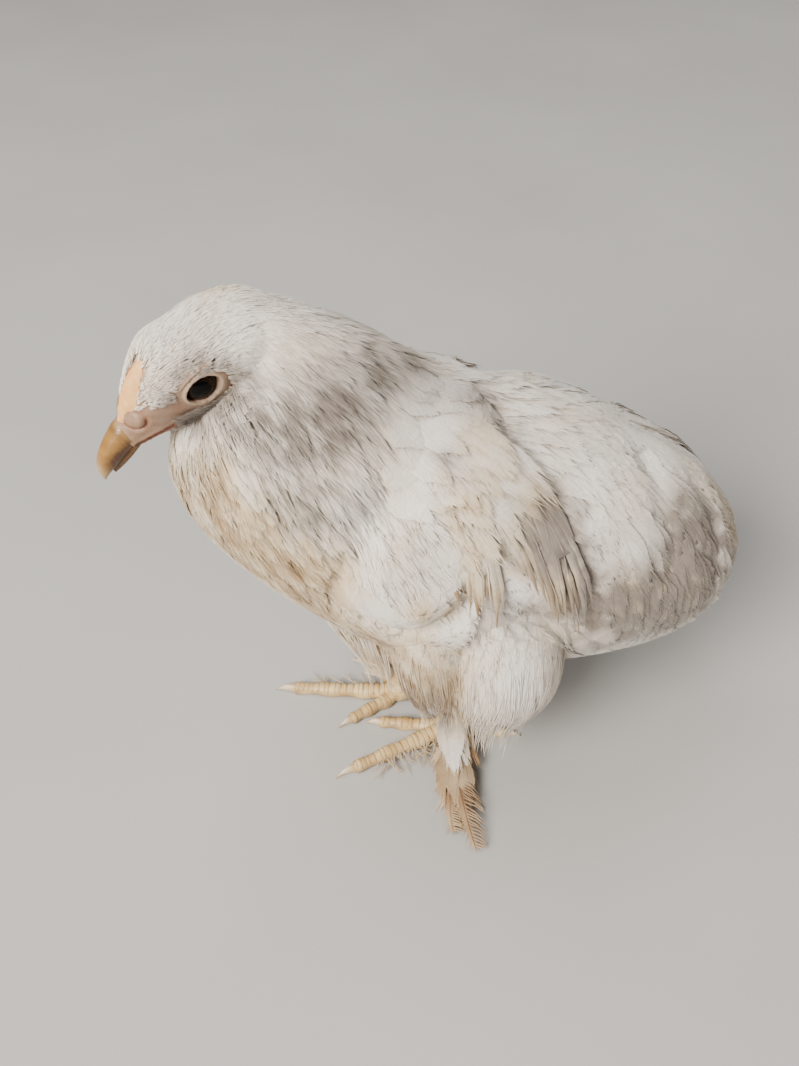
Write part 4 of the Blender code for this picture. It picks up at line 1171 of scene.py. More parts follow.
def grow(templates, paths, outs, half, roots, rng, cup, tilt):
    """Feathers of some templates on their paths: points, faces, attributes and places to bake.

    half is half their width, cup how far their edges bend down, and tilt how far they lean, in degrees.
    """
    steps = paths.shape[1] - 1
    choice = rng.integers(0, len(templates), len(paths))
    lean = np.radians(rng.normal(size=len(paths)) * tilt)
    tone = rng.uniform(0, 1, len(paths))
    name = rng.uniform(0, 1, len(paths))
    made = []
    for which, (rows, faces, shades) in enumerate(templates):
        mine = np.nonzero(choice == which)[0]
        if not len(mine):
            continue
        t, w, off_t, off_w, lift, kind = rows.T
        weights = spline(np.eye(steps + 1), t)
        past = np.maximum(t - 1, 0) * steps
        weights[:, -1] += past
        weights[:, -2] -= past
        ends = [spline(np.eye(steps + 1), np.clip(t + 0.02 * s, 0, 1)) for s in (1, -1)]
        centre = np.einsum("vk,nkc->nvc", weights, paths[mine])
        ahead = unit(np.einsum("vk,nkc->nvc", ends[0] - ends[1], paths[mine]))
        near = spline(np.eye(steps + 1), np.clip(t, 0, 1))
        out = unit(np.einsum("vk,nkc->nvc", near, outs[mine]))
        side = unit(np.cross(ahead, out))
        out = np.cross(side, ahead)
        reach = w[None] * half[mine, None] + off_w[None]
        rise = lift[None] - cup * (w[None] ** 2) + np.tan(lean[mine])[:, None] * reach * 0.6
        points = centre + ahead * off_t[None, :, None] + side * reach[..., None] + out * rise[..., None]
        count = len(rows)
        all_faces = (faces[None] + (np.arange(len(mine)) * count)[:, None, None]).reshape(-1, 3)
        patch = np.stack((np.clip(w, -1.2, 1.2) * PATCH[0], (np.clip(t, 0, 1) - 0.5) * PATCH[1]), -1)
        uvs = (roots[mine][:, None] + patch[None]).reshape(-1, 2)
        shade = np.clip(shades[None] * 0.5 + tone[mine, None] * 0.5, 0, 1)
        made.append({
            "count": count, "per": len(faces), "tufts": len(mine), "points": points.reshape(-1, 3),
            "faces": all_faces, "uvs": uvs, "along": np.tile(t, len(mine)),
            "across": np.tile(np.abs(w), len(mine)), "shade": shade.ravel(),
            "tuft": np.repeat(name[mine], count), "kind": np.tile(kind, len(mine)),
        })
    return made


def coat_pieces(name, made, material, extra_stain=0.0, tip_stain=0.0, dust_and_shade_strength=1.0):
    """Objects of a coat from grown feathers, each under the limit of triangles."""
    groups, load, current = [], 0, []
    for part in made:
        start = 0
        while start < part["tufts"]:
            take = min(max((MOST_TRIANGLES - load) // part["per"], 0), part["tufts"] - start)
            if take == 0:
                groups.append(current)
                current, load = [], 0
                continue
            rows = slice(start * part["count"], (start + take) * part["count"])
            faces = part["faces"][start * part["per"]:(start + take) * part["per"]] - start * part["count"]
            current.append((part, rows, faces))
            load += take * part["per"]
            start += take
    groups.append(current)
    pieces = []
    for number, group in enumerate(groups, 1):
        faces, start = [], 0
        for part, rows, piece in group:
            faces.append(piece + start)
            start += rows.stop - rows.start
        joined = {key: np.concatenate([part[key][rows] for part, rows, _ in group])
                  for key in ("points", "uvs", "along", "across", "shade", "tuft", "kind")}
        points, uvs, kinds = joined.pop("points"), joined.pop("uvs"), joined.pop("kind")
        stained = stain(points) * (0.45 + 1.1 * joined["shade"])
        stained += extra_stain + tip_stain * smooth(joined["along"], 0.62, 1.0)
        joined["stain"] = np.clip(stained, 0, 1)
        # Dust and painted shade, stronger or weaker for each kind of piece.
        joined["dust"] = np.clip(dust(points) * (0.7 + 0.6 * joined["shade"]) * dust_and_shade_strength, 0, 1)
        label = name if len(groups) == 1 else f"{name}_{number}"
        obj = add_mesh(label, points, np.concatenate(faces), material, joined, uvs, kinds)
        pieces.append(keep(obj, "plumage"))
    return pieces


def bake_place(u, v, corner, size):
    """Where on the OFBake map the root of a feather is, in its own island."""
    return np.stack((corner[0] + size[0] * u, corner[1] + size[1] * ((v + 90) % 360) / 360), -1)


DOWN = np.array((0.0, 0.0, -1.0))
BODY_CENTRE = np.array((0, 20, 100))
# Islands on the OFBake map: corner and size.
BODY_ISLAND = ((0.02, 0.02), (0.60, 0.96))
HEAD_ISLAND = ((0.66, 0.66), (0.30, 0.30))


def scatter(surface, u_range, spacing, rng, eps=0.01):
    """Roots in rows round a shape, so far apart, each row shifted against the last; spacing depends on u."""
    spread = 0.42  # of the gap, to either side
    us, vs = [], []
    u, row = u_range[0], 0
    while u < u_range[1]:
        gap = spacing(u)
        # How far it is round the shape here, measured in steps of 5 degrees.
        ring = surface(np.full(73, u), np.linspace(0, 360, 73), np.zeros(73))
        around = np.linalg.norm(np.diff(ring, axis=0), axis=1).sum()
        count = max(int(around / gap), 3)
        v = (np.arange(count) + 0.5 * (row % 2) + 0.25) / count * 360
        step = np.linalg.norm(surface(np.full(4, min(u + eps, 1)), np.arange(4) * 90.0, np.zeros(4))
                              - surface(np.full(4, u), np.arange(4) * 90.0, np.zeros(4)), axis=1).mean() / eps
        du = gap * 0.85 / max(step, 1e-3)
        vs.append(v + rng.uniform(-spread, spread, count) / count * 360)
        us.append(u + rng.uniform(-spread, spread, count) * du)
        u += du
        row += 1
    return np.clip(np.concatenate(us), *u_range), np.concatenate(vs)


def body_lie(share, along):
    """The lie of the coat on the body: backwards, and the more downwards the nearer the tail."""
    turn = np.radians(np.interp(share, (0, 0.2, 0.4, 0.6, 0.8, 1.0), (6, 20, 34, 46, 60, 55)))[:, None]
    return along * np.cos(turn) + DOWN * np.sin(turn)


def swing(aim, here, wander, centre=BODY_CENTRE):
    """Turns the lie a little to one side or the other, by some degrees, on a form round a centre."""
    outward = unit(here - centre)
    return aim + np.cross(outward, aim) * np.tan(np.radians(wander))[:, None]


def rooted(surface, u, v, reach):
    """The places on a shape that the skin is near to, or over."""
    kept = near_skin(surface(u, v, 0 * u), reach)
    return u[kept], v[kept]


def make_body_coat(material):
    """The soft feathers of the body, from the neck to the rump, and fine loose barbs over them."""
    rng = np.random.default_rng(SEED)
    at = (0, 0.1, 0.2, 0.32, 0.45, 0.6, 0.8, 1)
    gaps = (2.2, 2.6, 3.1, 4.0, 4.6, 4.7, 4.7, 4.0)
    share, turn = scatter(body_at, (0.02, 0.985), lambda u: np.interp(u, at, gaps), rng)
    more_share, more_turn = scatter(body_at, (0.33, 0.48), lambda u: 4.6, rng)
    on_flank = patch_away(more_share, more_turn, *ROUND_FLANK) < 1
    share = np.concatenate([share, more_share[on_flank]])
    turn = np.concatenate([turn, more_turn[on_flank]])
    share, turn = rooted(body_at, share, turn, SKIN_REACH)
    side = one_side(turn)
    length = np.interp(share, at, (8, 11, 14, 17, 19, 21, 22, 21))
    length = length * rng.uniform(0.85, 1.15, len(share))
    half = np.interp(share, at, (1.4, 1.9, 2.7, 3.9, 4.6, 3.9, 4.0, 3.8))
    half = half * rng.uniform(0.85, 1.15, len(share))
    hackle = (share >= 0.13) & (share < 0.37) & (side > -8)
    back = (side > 50) & (share >= 0.37) & (share < 0.56)
    round_flank = patch_away(share, turn, *ROUND_FLANK) < 1
    length = np.where(round_flank, 19.0, length)
    half = np.where(round_flank, half * 1.15, half)
    long = np.interp(share, (0.13, 0.37), (13, 21)) * rng.uniform(0.8, 1.2, len(share))
    length = np.where(hackle, long, length)
    half = np.where(hackle, np.interp(share, (0.13, 0.37), (1.7, 2.5)), np.where(back, 3.0, half))
    wander = rng.normal(size=len(share)) * np.interp(share, (0, 0.3, 0.6, 1), (10, 10, 5, 5))
    gap = (share > 0.445) & (share < 0.60) & (side > -26) & (side < 8)
    hairy = {"segments": 6, "half": 0.12, "loose": 1.6, "rim": 0.85, "power": 0.8, "fullest": 0.5}
    # Each kind: its name, where it grows, the size of its template, and what the template is made of.
    for name, mine, size, options in (
        ("neck", share < 0.13, (10.0, 1.7), {"needles": 14, "hair": 3.2, "strands": 5, "clumps": 4, **hairy}),
        ("hackle", hackle, (17.0, 2.1), {"needles": 13, "hair": 4.4, "strands": 5, "clumps": 4, **hairy}),
        ("breast", (share >= 0.13) & (share < 0.30) & ~hackle, (14.0, 3.0),
         {"needles": 14, "segments": 7, "hair": 3.4, "half": 0.13, "loose": 1.4, "strands": 4}),
        ("back", back, (19.0, 3.0), {"needles": 18, "hair": 4.0, "strands": 5, "clumps": 6, **hairy}),
        ("flank", (share >= 0.30) & (share < 0.54) & ~hackle & ~back & ~round_flank, (18.5, 4.6),
         {"needles": 18, "segments": 7, "hair": 3.2, "half": 0.14, "strands": 2}),
        ("side", round_flank & ~hackle, (17.0, 5.0),
         {"needles": 12, "segments": 8, "hair": 1.3, "half": 0.15, "loose": 0.1, "clumps": 3, "rim": 0.3}),
        ("rump", share >= 0.54, (21.0, 3.8),
         {"needles": 12, "segments": 7, "hair": 3.2, "half": 0.15, "strands": 0, "loose": 0.5, "rim": 0.6,
          "clumps": 4}),
    ):
        mine = mine & ~gap & ~(back & (name == "rump"))
        templates = [soft_template(rng, size, **options) for _ in range(8)]

        def lie(u, v, here, along, w=wander[mine]):
            return swing(body_lie(u, along), here, w)

        flat = name in ("side", "rump")
        heights = (-2.4, -0.8, 0.1, 0.25) if flat else (-2.4, -1.0, 0.0, 0.4)
        if name == "neck":
            heights = (-2.6, -1.8, -1.2, -0.6)
        u, v = share[mine], turn[mine]
        paths, outs = march(body_at, u, v, lie, length[mine], heights, (0.0, 1.0), droop=0.2)
        roots = bake_place(u, v, *BODY_ISLAND)
        cup, tilt = (0.10, 0.5) if flat else (0.32, 4.0)
        grown = grow(templates, paths, outs, half[mine], roots, rng, cup, tilt)
        coat_pieces(f"plumage_{name}", grown, material)
    make_loose_barbs(material, rng)


def make_loose_barbs(material, rng):
    """Fine loose barbs over the soft feathers of the neck, breast and back."""
    gaps = (1.7, 2.1, 3.2, 5.0)
    u, v = scatter(body_at, (0.10, 0.60), lambda u: np.interp(u, (0, 0.15, 0.3, 0.6), gaps), rng)
    side = one_side(v)
    under_wing = (u > 0.33) & (side > 5) & (side < 60)
    kept = ~(patch_away(u, v, 0.40, 3, 0.08, 36) < 1) & ~under_wing
    u, v = rooted(body_at, u[kept], v[kept], SKIN_REACH)
    wander = rng.normal(size=len(u)) * 12

    def lie(u, v, here, along):
        return swing(body_lie(u, along), here, wander)

    long = np.interp(u, (0, 0.1, 0.3, 0.6), (4.5, 6.5, 9.5, 10.0)) * rng.uniform(0.7, 1.3, len(u))
    paths, outs = march(body_at, u, v, lie, long, (-0.4, 0.2, 0.4, 0.5), (0.0, 1.0), 4, droop=0.1)
    templates = [strand_template(rng, (8.0, 0.9), 3, 0.12, 0.9, 2, 0.2, 0.4) for _ in range(8)]
    grown = grow(templates, paths, outs, np.full(len(u), 0.9), bake_place(u, v, *BODY_ISLAND), rng, 0.0, 4.0)
    coat_pieces("plumage_loose", grown, material)


# Rows over the roots of the wings: share from and to, count, length, height.
SCAPULARS = ((0.300, 0.335, 9, 21.0, 1.1), (0.335, 0.375, 9, 23.0, 1.2), (0.375, 0.400, 6, 20.0, 1.1))


def make_scapulars(material):
    """Broad smooth feathers from the shoulders, over the roots of the wings."""
    rng = np.random.default_rng(SEED + 8)
    made = []
    for first, last, count, length, height in SCAPULARS:
        for mirror in (1, -1):
            f = (np.arange(count) + rng.uniform(-0.2, 0.2, count)) / (count - 1)
            share = first + (last - first) * rng.random(count)
            turn = np.interp(f, (0, 1), (30, 80) if count > 6 else (52, 82))
            turn = turn if mirror > 0 else 180 - turn

            def lie(u, v, here, along):
                return along + DOWN * 0.62

            long = length * rng.uniform(0.9, 1.1, count)
            heights = (-2.0, 0.0, height, height * 0.7)
            paths, outs = march(body_at, share, turn, lie, long, heights, (0.0, 1.0), 7, droop=0.2)
            templates = [
                soft_template(rng, (length, 5.0), 32, 9, 2.6, 0.15, 0.6, 0.5, 7, 0.6, 2, 0.12, 0.45, 9)
                for _ in range(3)
            ]
            where = bake_place(share, turn, *BODY_ISLAND)
            made += grow(templates, paths, outs, rng.uniform(4.4, 5.4, count), where, rng, 0.45, 2.0)
    coat_pieces("plumage_scapular", made, material)


HEAD_LIE = -FORWARD * 0.95 - UP * 0.30  # the lie of the coat on the head


def make_nape_coat(material):
    """Soft feathers that run from the back of the head over on to the neck, laid on the skin itself."""
    rng = np.random.default_rng(SEED + 9)
    u, v = scatter(head_coat_at, (0.60, 0.97), lambda u: np.interp(u, (0.6, 0.97), (1.25, 1.7)), rng)
    share, turn = scatter(body_at, (0.01, 0.13), lambda u: 2.1, rng)
    roots = np.concatenate([head_coat_at(u, v, -0.5 + 0 * u), body_at(share, turn, -0.5 + 0 * share)])
    places = np.concatenate([bake_place(u, v, *HEAD_ISLAND), bake_place(share, turn, *BODY_ISLAND)])
    kept = near_skin(roots, 3.2)
    _, _, up = in_head(roots)
    kept &= (roots[:, 1] > -62) | (up > 2)
    roots, places = roots[kept], places[kept]
    count, steps = len(roots), 6
    over = smooth(roots[:, 1], -60, -45)
    length = (8.0 + 4.5 * over) * rng.uniform(0.8, 1.2, count)
    swing_by = np.tan(np.radians(rng.normal(size=count) * 8))[:, None]
    here, out = on_skin(roots)
    paths, outs, way = [], [], None
    for k in range(steps + 1):
        over = smooth(here[:, 1], -60, -45)
        top = 0.9 + 0.9 * over
        level = np.interp(k / steps, (0, 0.35, 0.7, 1), (-1.6, 0.0, 0.35, 0.45)) + top
        outs.append(out)
        paths.append(here + out * level[:, None])
        aim = unit(HEAD_LIE * (1 - over)[:, None] + np.array((0.05, 0.95, -0.45)) * over[:, None])
        aim = aim + np.cross(out, aim) * swing_by
        aim = unit(aim - out * (aim * out).sum(-1, keepdims=True))
        way = aim if way is None else unit(way + aim)
        here, normal = on_skin(here + way * (length / steps)[:, None])
        out = unit(out + normal)
    paths, outs = np.stack(paths, 1), np.stack(outs, 1)
    paths[:, 1:-1] = (paths[:, :-2] + 2 * paths[:, 1:-1] + paths[:, 2:]) / 4
    templates = [soft_template(rng, (11.0, 1.5), 9, 5, 3.2, 0.12, 0.5, 0.8, 3, 1.4, 3, 0.1, 0.85, 3)
                 for _ in range(8)]
    half = np.interp(paths[:, 0, 1], (-62, -45), (1.0, 1.7))
    grown = grow(templates, paths, outs, half, places, rng, 0.2, 5.0)
    coat_pieces("plumage_nape", grown, material)


def make_head_coat(material, dark):
    """Fine short feathers on the crown and cheeks, smallest round the eyes and the bill, and bristles."""
    rng = np.random.default_rng(SEED + 1)
    gaps = (0.62, 0.75, 0.95, 1.3)
    u, v = scatter(head_coat_at, (0.05, 0.94), lambda u: np.interp(u, (0, 0.3, 0.6, 1), gaps), rng)
    u, v = rooted(head_coat_at, u, v, 2.6)
    a, out, up = in_head(head_coat_at(u, v, 0 * u))
    level = gape_level(a)
    rho = eye_away(a, up, LID_STRETCH) + rng.normal(size=len(u)) * 0.25
    up = up + rng.normal(size=len(u)) * 0.6
    a = a + rng.normal(size=len(u)) * 0.6
    side = np.abs(out) > 5.5
    comb = (a > 7) & (np.abs(out - np.interp(a, (7.5, 22), (2.2, 0.5))) < 2.6) & (up > 3)
    cheek = (a > 8.5) & (np.abs(out) > 2.0) & (up < np.interp(a, (8.5, 15, 22), (1.5, 3.4, 1.0)))
    jaw = (a > 8) & (up < level - 1.5)
    ahead = side & (a > -1) & ((rho < 6.6) & (np.abs(up) < 4.8) | (rho < 11.5) & (up > -9) & (up < -0.3))
    gone = (side & (rho < 4.5)) | ahead | comb | (a > 17) | (cheek & ~jaw) | (jaw & (a > 15))
    under = under_eye(a, up) < 1.0
    sparse = side & ((rho < 6.0) | under) & (rng.random(len(u)) < 0.55)
    wanted = ~gone & ~sparse
    u, v, a, out, rho, under = (x[wanted] for x in (u, v, a, out, rho, under))
    length = np.interp(a, (-24, -12, 0, 8, 17), (7.0, 5.5, 4.0, 3.0, 1.8)) * rng.uniform(0.75, 1.25, len(u))
    length *= np.where(under & (np.abs(out) > 5), 0.75, 1)
    length *= np.where((np.abs(out) > 6) & (rho < 8), 0.65, 1)
    wander = rng.normal(size=len(u)) * 10

    def lie(u, v, here, along):
        return swing(np.tile(HEAD_LIE, (len(u), 1)), here, wander, HEAD_CENTRE)

    heights = (-0.6, -0.1, 0.2, 0.35)
    paths, outs = march(head_coat_at, u, v, lie, length, heights, (0.0, 1.0), 4, (0.01, 1.0), 0.1)
    clear = clear_of_eye(paths, 4.6)
    paths, outs, length, u, v = (x[clear] for x in (paths, outs, length, u, v))
    templates = [strand_template(rng, (4.0, 0.7), 4, 0.17, 1.0, 2, 0.1, 0.22) for _ in range(8)]
    grown = grow(templates, paths, outs, length * 0.19, bake_place(u, v, *HEAD_ISLAND), rng, 0.0, 4.0)
    coat_pieces("plumage_head", grown, material)
    make_bristles(dark, rng)


def make_bristles(material, rng):
    """Dark bristles under the eyes and along the jaw, and a few over the eyes."""
    count, under = 1500, 1300  # in all, and of them under the eyes
    a = rng.uniform(-13, 12, count)
    drop = rng.uniform(0, 1, count)
    up = -3.4 - 0.06 * (12 - a) - 3.8 * drop
    brow = np.arange(count) >= under
    a = np.where(brow, rng.uniform(-7, 6, count), a)
    up = np.where(brow, 4.3 - 0.045 * (a + 1) ** 2 + 0.7 * drop, up)
    sign = np.where(rng.random(count) < 0.5, 1.0, -1.0)
    middle, _, high, low = head_ring(a)
    v = np.degrees(np.arcsin(np.clip((up - middle) / np.where(up > middle, high, low), -0.95, 0.95)))
    v = np.where(sign > 0, v, 180 - v)
    u = (COAT_FRONT - a) / COAT_LONG
    beside_eye = eye_away(a, up, LID_STRETCH) > 4.2
    u, v = u[beside_eye], v[beside_eye]
    wander = rng.normal(size=len(u)) * 14

    def lie(u, v, here, along):
        return swing(np.tile(-FORWARD * 0.9 - UP * 0.42, (len(u), 1)), here, wander, HEAD_CENTRE)

    length = rng.uniform(1.6, 3.4, len(u))
    paths, outs = march(head_coat_at, u, v, lie, length, (-0.2, 0.5, 0.7), (0.0, 1.0), 3, (0.01, 1.0), 0.2)
    clear = clear_of_eye(paths, 3.9)
    paths, outs, u, v = (x[clear] for x in (paths, outs, u, v))
    templates = [strand_template(rng, (2.5, 0.4), 2, 0.075, 0.6, 2, 0.2, 0.3) for _ in range(5)]
    grown = grow(templates, paths, outs, np.full(len(u), 0.4), bake_place(u, v, *HEAD_ISLAND), rng, 0.0, 0.0)
    coat_pieces("bristles", grown, material)


def clear_of_eye(paths, reach):
    """True for the paths that stay outside the opening of the lids."""
    a, out, up = in_head(paths)
    return (eye_away(a, up, LID_STRETCH) + 30 * (np.abs(out) < 5)).min(1) > reach


def blend(a, b, f):
    """Places between two, for each part of the way."""
    a, b, f = np.asarray(a, float), np.asarray(b, float), np.asarray(f, float)[..., None]
    return a * (1 - f) + b * f


def laid_paths(roots, bows, tips, heights, steps=8, tilt=0.0, mirror=1):
    """Paths of feathers laid on the wing's bed, bowed between (share, angle) ends."""
    f = np.linspace(0, 1, steps + 1)[None, :, None]
    roots, bows, tips = roots[:, None], bows[:, None], tips[:, None]
    places = (1 - f) ** 2 * roots + 2 * f * (1 - f) * bows + f**2 * tips
    height = heights[:, :1] + (heights[:, 1:] - heights[:, :1]) * f[..., 0]
    here = wing_at(places[..., 0], places[..., 1], height)
    out = unit(wing_at(places[..., 0], places[..., 1], height + 1) - here)
    ahead = unit(np.gradient(here, axis=1))
    out = unit(out + np.cross(ahead, out) * tilt)
    flip = np.array((mirror, 1, 1))
    return here * flip, out * flip, places[:, 0]


def wing_roots(places, mirror):
    """Where on the OFBake map the roots of a wing's feathers are."""
    return bake_place(places[:, 0], places[:, 1] + 90 - 90 * mirror, *BODY_ISLAND)


# The ends of the row of flight feathers, as share and angle, for their roots and the middle of their bow.
FLIGHT_ROOTS = ((0.425, 68), (0.385, 24))
FLIGHT_BOW = ((0.545, 44), (0.430, 12))
# Each flight feather: place in the row from the back, tip as share and angle, half width, height of the tip.
FLIGHTS = (
    (0.00, 0.602, -17, 5.8, 3.4), (0.08, 0.588, -17, 5.0, 2.6), (0.26, 0.560, 0, 4.0, 4.2),
    (0.40, 0.540, 6, 3.8, 4.0), (0.64, 0.497, -14, 4.4, 4.8), (0.78, 0.482, -6, 4.2, 4.4),
    (0.98, 0.460, -1, 4.0, 3.8),
)
# Rows of coverts: count, roots from and to, tips from and to, half width, height of the tips.
COVERTS = (
    (7, (0.400, 68), (0.368, 26), (0.528, 46), (0.452, 14), 4.8, 4.6),
    (8, (0.372, 68), (0.350, 28), (0.482, 54), (0.424, 22), 4.6, 4.6),
    (8, (0.348, 64), (0.335, 30), (0.442, 56), (0.398, 28), 4.2, 4.0),
)


def make_wing(side, mirror, material):
    """Worn flight feathers that hang down over the thigh, under ragged tiers of coverts."""
    rng = np.random.default_rng(SEED + 2)
    f, share, turn, half, high = np.array(FLIGHTS).T
    roots, bows = blend(*FLIGHT_ROOTS, f), blend(*FLIGHT_BOW, f)
    heights = np.stack((0.4 + 0 * f, high), -1)
    paths, outs, places = laid_paths(roots, bows, np.stack((share, turn), -1), heights, 8, -0.16, mirror)
    templates = [ragged_template(rng, (44.0, 5.2), 11, 0.55, 0.55, 0.52, 1.2, 0.28, 0.8, 4, 0.8)
                 for _ in range(7)]
    flights = grow(templates, paths, outs, half, wing_roots(places, mirror), rng, 0.9, 2.0)
    made = []
    for count, root_a, root_b, tip_a, tip_b, half, height in COVERTS:
        for layer in range(2):
            f = np.clip((np.arange(count) + 0.5 * layer) / (count - 1) + rng.normal(size=count) * 0.02, 0, 1)
            roots, tips = blend(root_a, root_b, f), blend(tip_a, tip_b, f)
            roots = roots + rng.normal(size=roots.shape) * (0.004, 1.5)
            tips = tips + rng.normal(size=tips.shape) * (0.009, 2.5)
            bows = (roots + tips) / 2 + (0.006, 3)
            high = height - 0.6 * layer + rng.normal(size=count) * 0.25 - 2.2 * smooth(tips[:, 1], 44, 62)
            heights = np.stack((high - 5.4, high), -1)
            paths, outs, places = laid_paths(roots, bows, tips, heights, 6, -0.06, mirror)
            templates = [
                soft_template(rng, (23.0, half), 26, 9, 4.2, 0.16, 0.6, 0.5, 7, 1.2, 2, 0.12, 0.5, 11)
                for _ in range(5)
            ]
            broad = half * rng.uniform(0.85, 1.15, count)
            made += grow(templates, paths, outs, broad, wing_roots(places, mirror), rng, 0.5, 3.0)
    pieces = coat_pieces(f"wing_flights_{side}", flights, material, 0.12, 0.95, 1.2)
    coat_pieces(f"wing_coverts_{side}", made, material, 0.0, 0.24)
    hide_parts(f"wing_{side}")


def tail_lie(u, v, here, along):
    """The lie of the drapes: down, and a little backwards."""
    return along * 0.42 + DOWN


# Drapes of the rump: angle of the roots, share from and to, count, length, half width, height at root and tip.
DRAPES = (
    (26, 0.60, 0.93, 16, 27.0, 3.5, -0.3, 0.7),
    (46, 0.59, 0.93, 17, 36.0, 3.8, -0.3, 0.9),
    (66, 0.59, 0.90, 16, 44.0, 4.0, -0.3, 1.2),
    (82, 0.62, 0.86, 12, 46.0, 4.0, -0.2, 1.4),
)


def make_tail(material):
    """The soft short tail, and the drapes of long feathers that fall from the ridge of the rump."""
    rng = np.random.default_rng(SEED + 3)
    made = []
    # The longest feathers, laid side by side along the ridge.
    f = np.linspace(-1, 1, 12)
    share, turn = np.full(12, 0.80) + 0.02 * np.abs(f), 90 - 60 * f

    def lie(u, v, here, along):
        return along + DOWN * (0.15 + 0.35 * np.abs(f))[:, None]

    length = 40.0 * (1 - 0.12 * np.abs(f))
    paths, outs = march(body_at, share, turn, lie, length, (-1.4, 0.4, 1.9, 2.4), (0.0, 1.0), 8, droop=0.5)
    templates = [ragged_template(rng, (40.0, 5.2), 10, 0.55, 0.5, 0.75, 0.6, 0.22) for _ in range(4)]
    where = bake_place(share, turn, *BODY_ISLAND)
    made += grow(templates, paths, outs, np.full(12, 4.6), where, rng, 0.8, 2.0)
    for angle, first, last, count, reach, half, root, tip in DRAPES:
        templates = [soft_template(rng, (reach, half), 24, 12, 4.2, 0.16, 0.55, 0.6, 5, 0.8, 4, 0.12, 0.5, 6)
                     for _ in range(6)]
        for side in (1, -1):
            for layer in range(2):
                f = (np.arange(count) + 0.5 * layer + rng.normal(size=count) * 0.12) / (count - 0.5)
                at = first + (last - first) * f
                turn = angle + rng.normal(size=count) * 2.5 - 4 * layer
                turn = turn if side > 0 else 180 - turn
                high = tip - 0.5 * layer
                heights = (root - 1.6, root + 0.3, high * 0.8, high)
                length = reach * rng.uniform(0.85, 1.12, count)
                paths, outs = march(body_at, at, turn, tail_lie, length, heights, (0.0, 1.0), 9, droop=0.3)
                broad, where = half * rng.uniform(0.85, 1.15, count), bake_place(at, turn, *BODY_ISLAND)
                made += grow(templates, paths, outs, broad, where, rng, 0.4, 1.0)
    pieces = coat_pieces("tail_feathers", made, material, 0.0, 0.12)
    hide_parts("tail")


def make_fluff(side, material):
    """The silky fluff of a thigh: soft leaves under long filaments that hang past its hem."""
    rng = np.random.default_rng(SEED + (4 if side == "left" else 5))
    made, strands = [], []
    for number, rows in enumerate(LOBES[side]):
        at = lobe_at(rows)
        island = ((0.66 + 0.16 * number, 0.02 if side == "left" else 0.33), (0.13, 0.28))

        def lie(u, v, here, along):
            return along + DOWN * 0.4

        u, v = rooted(at, *scatter(at, (0.02, 0.46), lambda u: 3.5, rng, 0.02), 5.5)
        length = np.interp(u, (0, 0.4, 0.8), (20, 22, 17)) * rng.uniform(0.85, 1.2, len(u))
        paths, outs = march(at, u, v, lie, length, (-2.0, -0.6, 0.2, 0.4), (0.0, 1.0), 6, (0.02, 2.0), 0.1)
        low = rows[-1][2]
        paths[..., 2] = np.maximum(paths[..., 2], low + 3)
        templates = [soft_template(rng, (20.0, 2.9), 12, 7, 4.5, 0.15, 0.6, 0.6, 5, 1.0, 3, clumps=4)
                     for _ in range(8)]
        half, where = rng.uniform(2.4, 3.4, len(u)), bake_place(u, v, *island)
        made += grow(templates, paths, outs, half, where, rng, 0.15, 2.0)
        u, v = scatter(at, (0.28, 0.76), lambda u: np.interp(u, (0.3, 0.5, 0.8), (4.6, 4.2, 6.5)), rng, 0.02)
        u, v = rooted(at, u, v, 4.4)
        length = np.interp(u, (0.30, 0.5, 0.8), (30, 32, 25)) * rng.uniform(0.8, 1.2, len(u))
        wander = rng.normal(size=len(u)) * 5

        def lie_strands(u, v, here, along):
            return swing(along + DOWN * 0.5, here, wander, here.mean(0))

        heights = (-0.6, 0.4, 0.8, 1.2)
        paths, outs = march(at, u, v, lie_strands, length, heights, (0.0, 0.84), 7, (0.02, 2.0), 0.20)
        bottom = low - 17 + 10 * rng.random((len(u), 1))
        paths[..., 2] = np.maximum(paths[..., 2], np.maximum(bottom, 6.0))
        templates = [strand_template(rng, (28.0, 1.9), 5, 0.16, 0.9, 4, 0.07, 0.2, 0.97 * (k % 4 > 0))
                     for k in range(8)]
        half, where = rng.uniform(1.4, 2.6, len(u)), bake_place(u, v, *island)
        strands += grow(templates, paths, outs, half, where, rng, 0.0, 2.0)
    pieces = coat_pieces(f"fluff_{side}", made, material)
    coat_pieces(f"fringe_{side}", strands, material, dust_and_shade_strength=0.3)
    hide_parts(f"thigh_{side}")


# The beak, comb, eyes and feet


def oval_rings(rows, count, sides, power):
    """Along, out, up and the sine of the angle for the points of rings between those of a table."""
    share = np.linspace(0, 1, count)
    along, middle, half, up, down = np.moveaxis(spline(rows, share), -1, 0)
    turn = turns(sides)
    c, s = np.cos(turn), np.sin(turn)
    out = half[:, None] * np.copysign(np.abs(c) ** power, c)
    rise = np.where(s > 0, up[:, None], down[:, None]) * np.copysign(np.abs(s) ** power, s)
    return along[:, None] + 0 * out, out, middle[:, None] + rise, s[None] + 0 * out


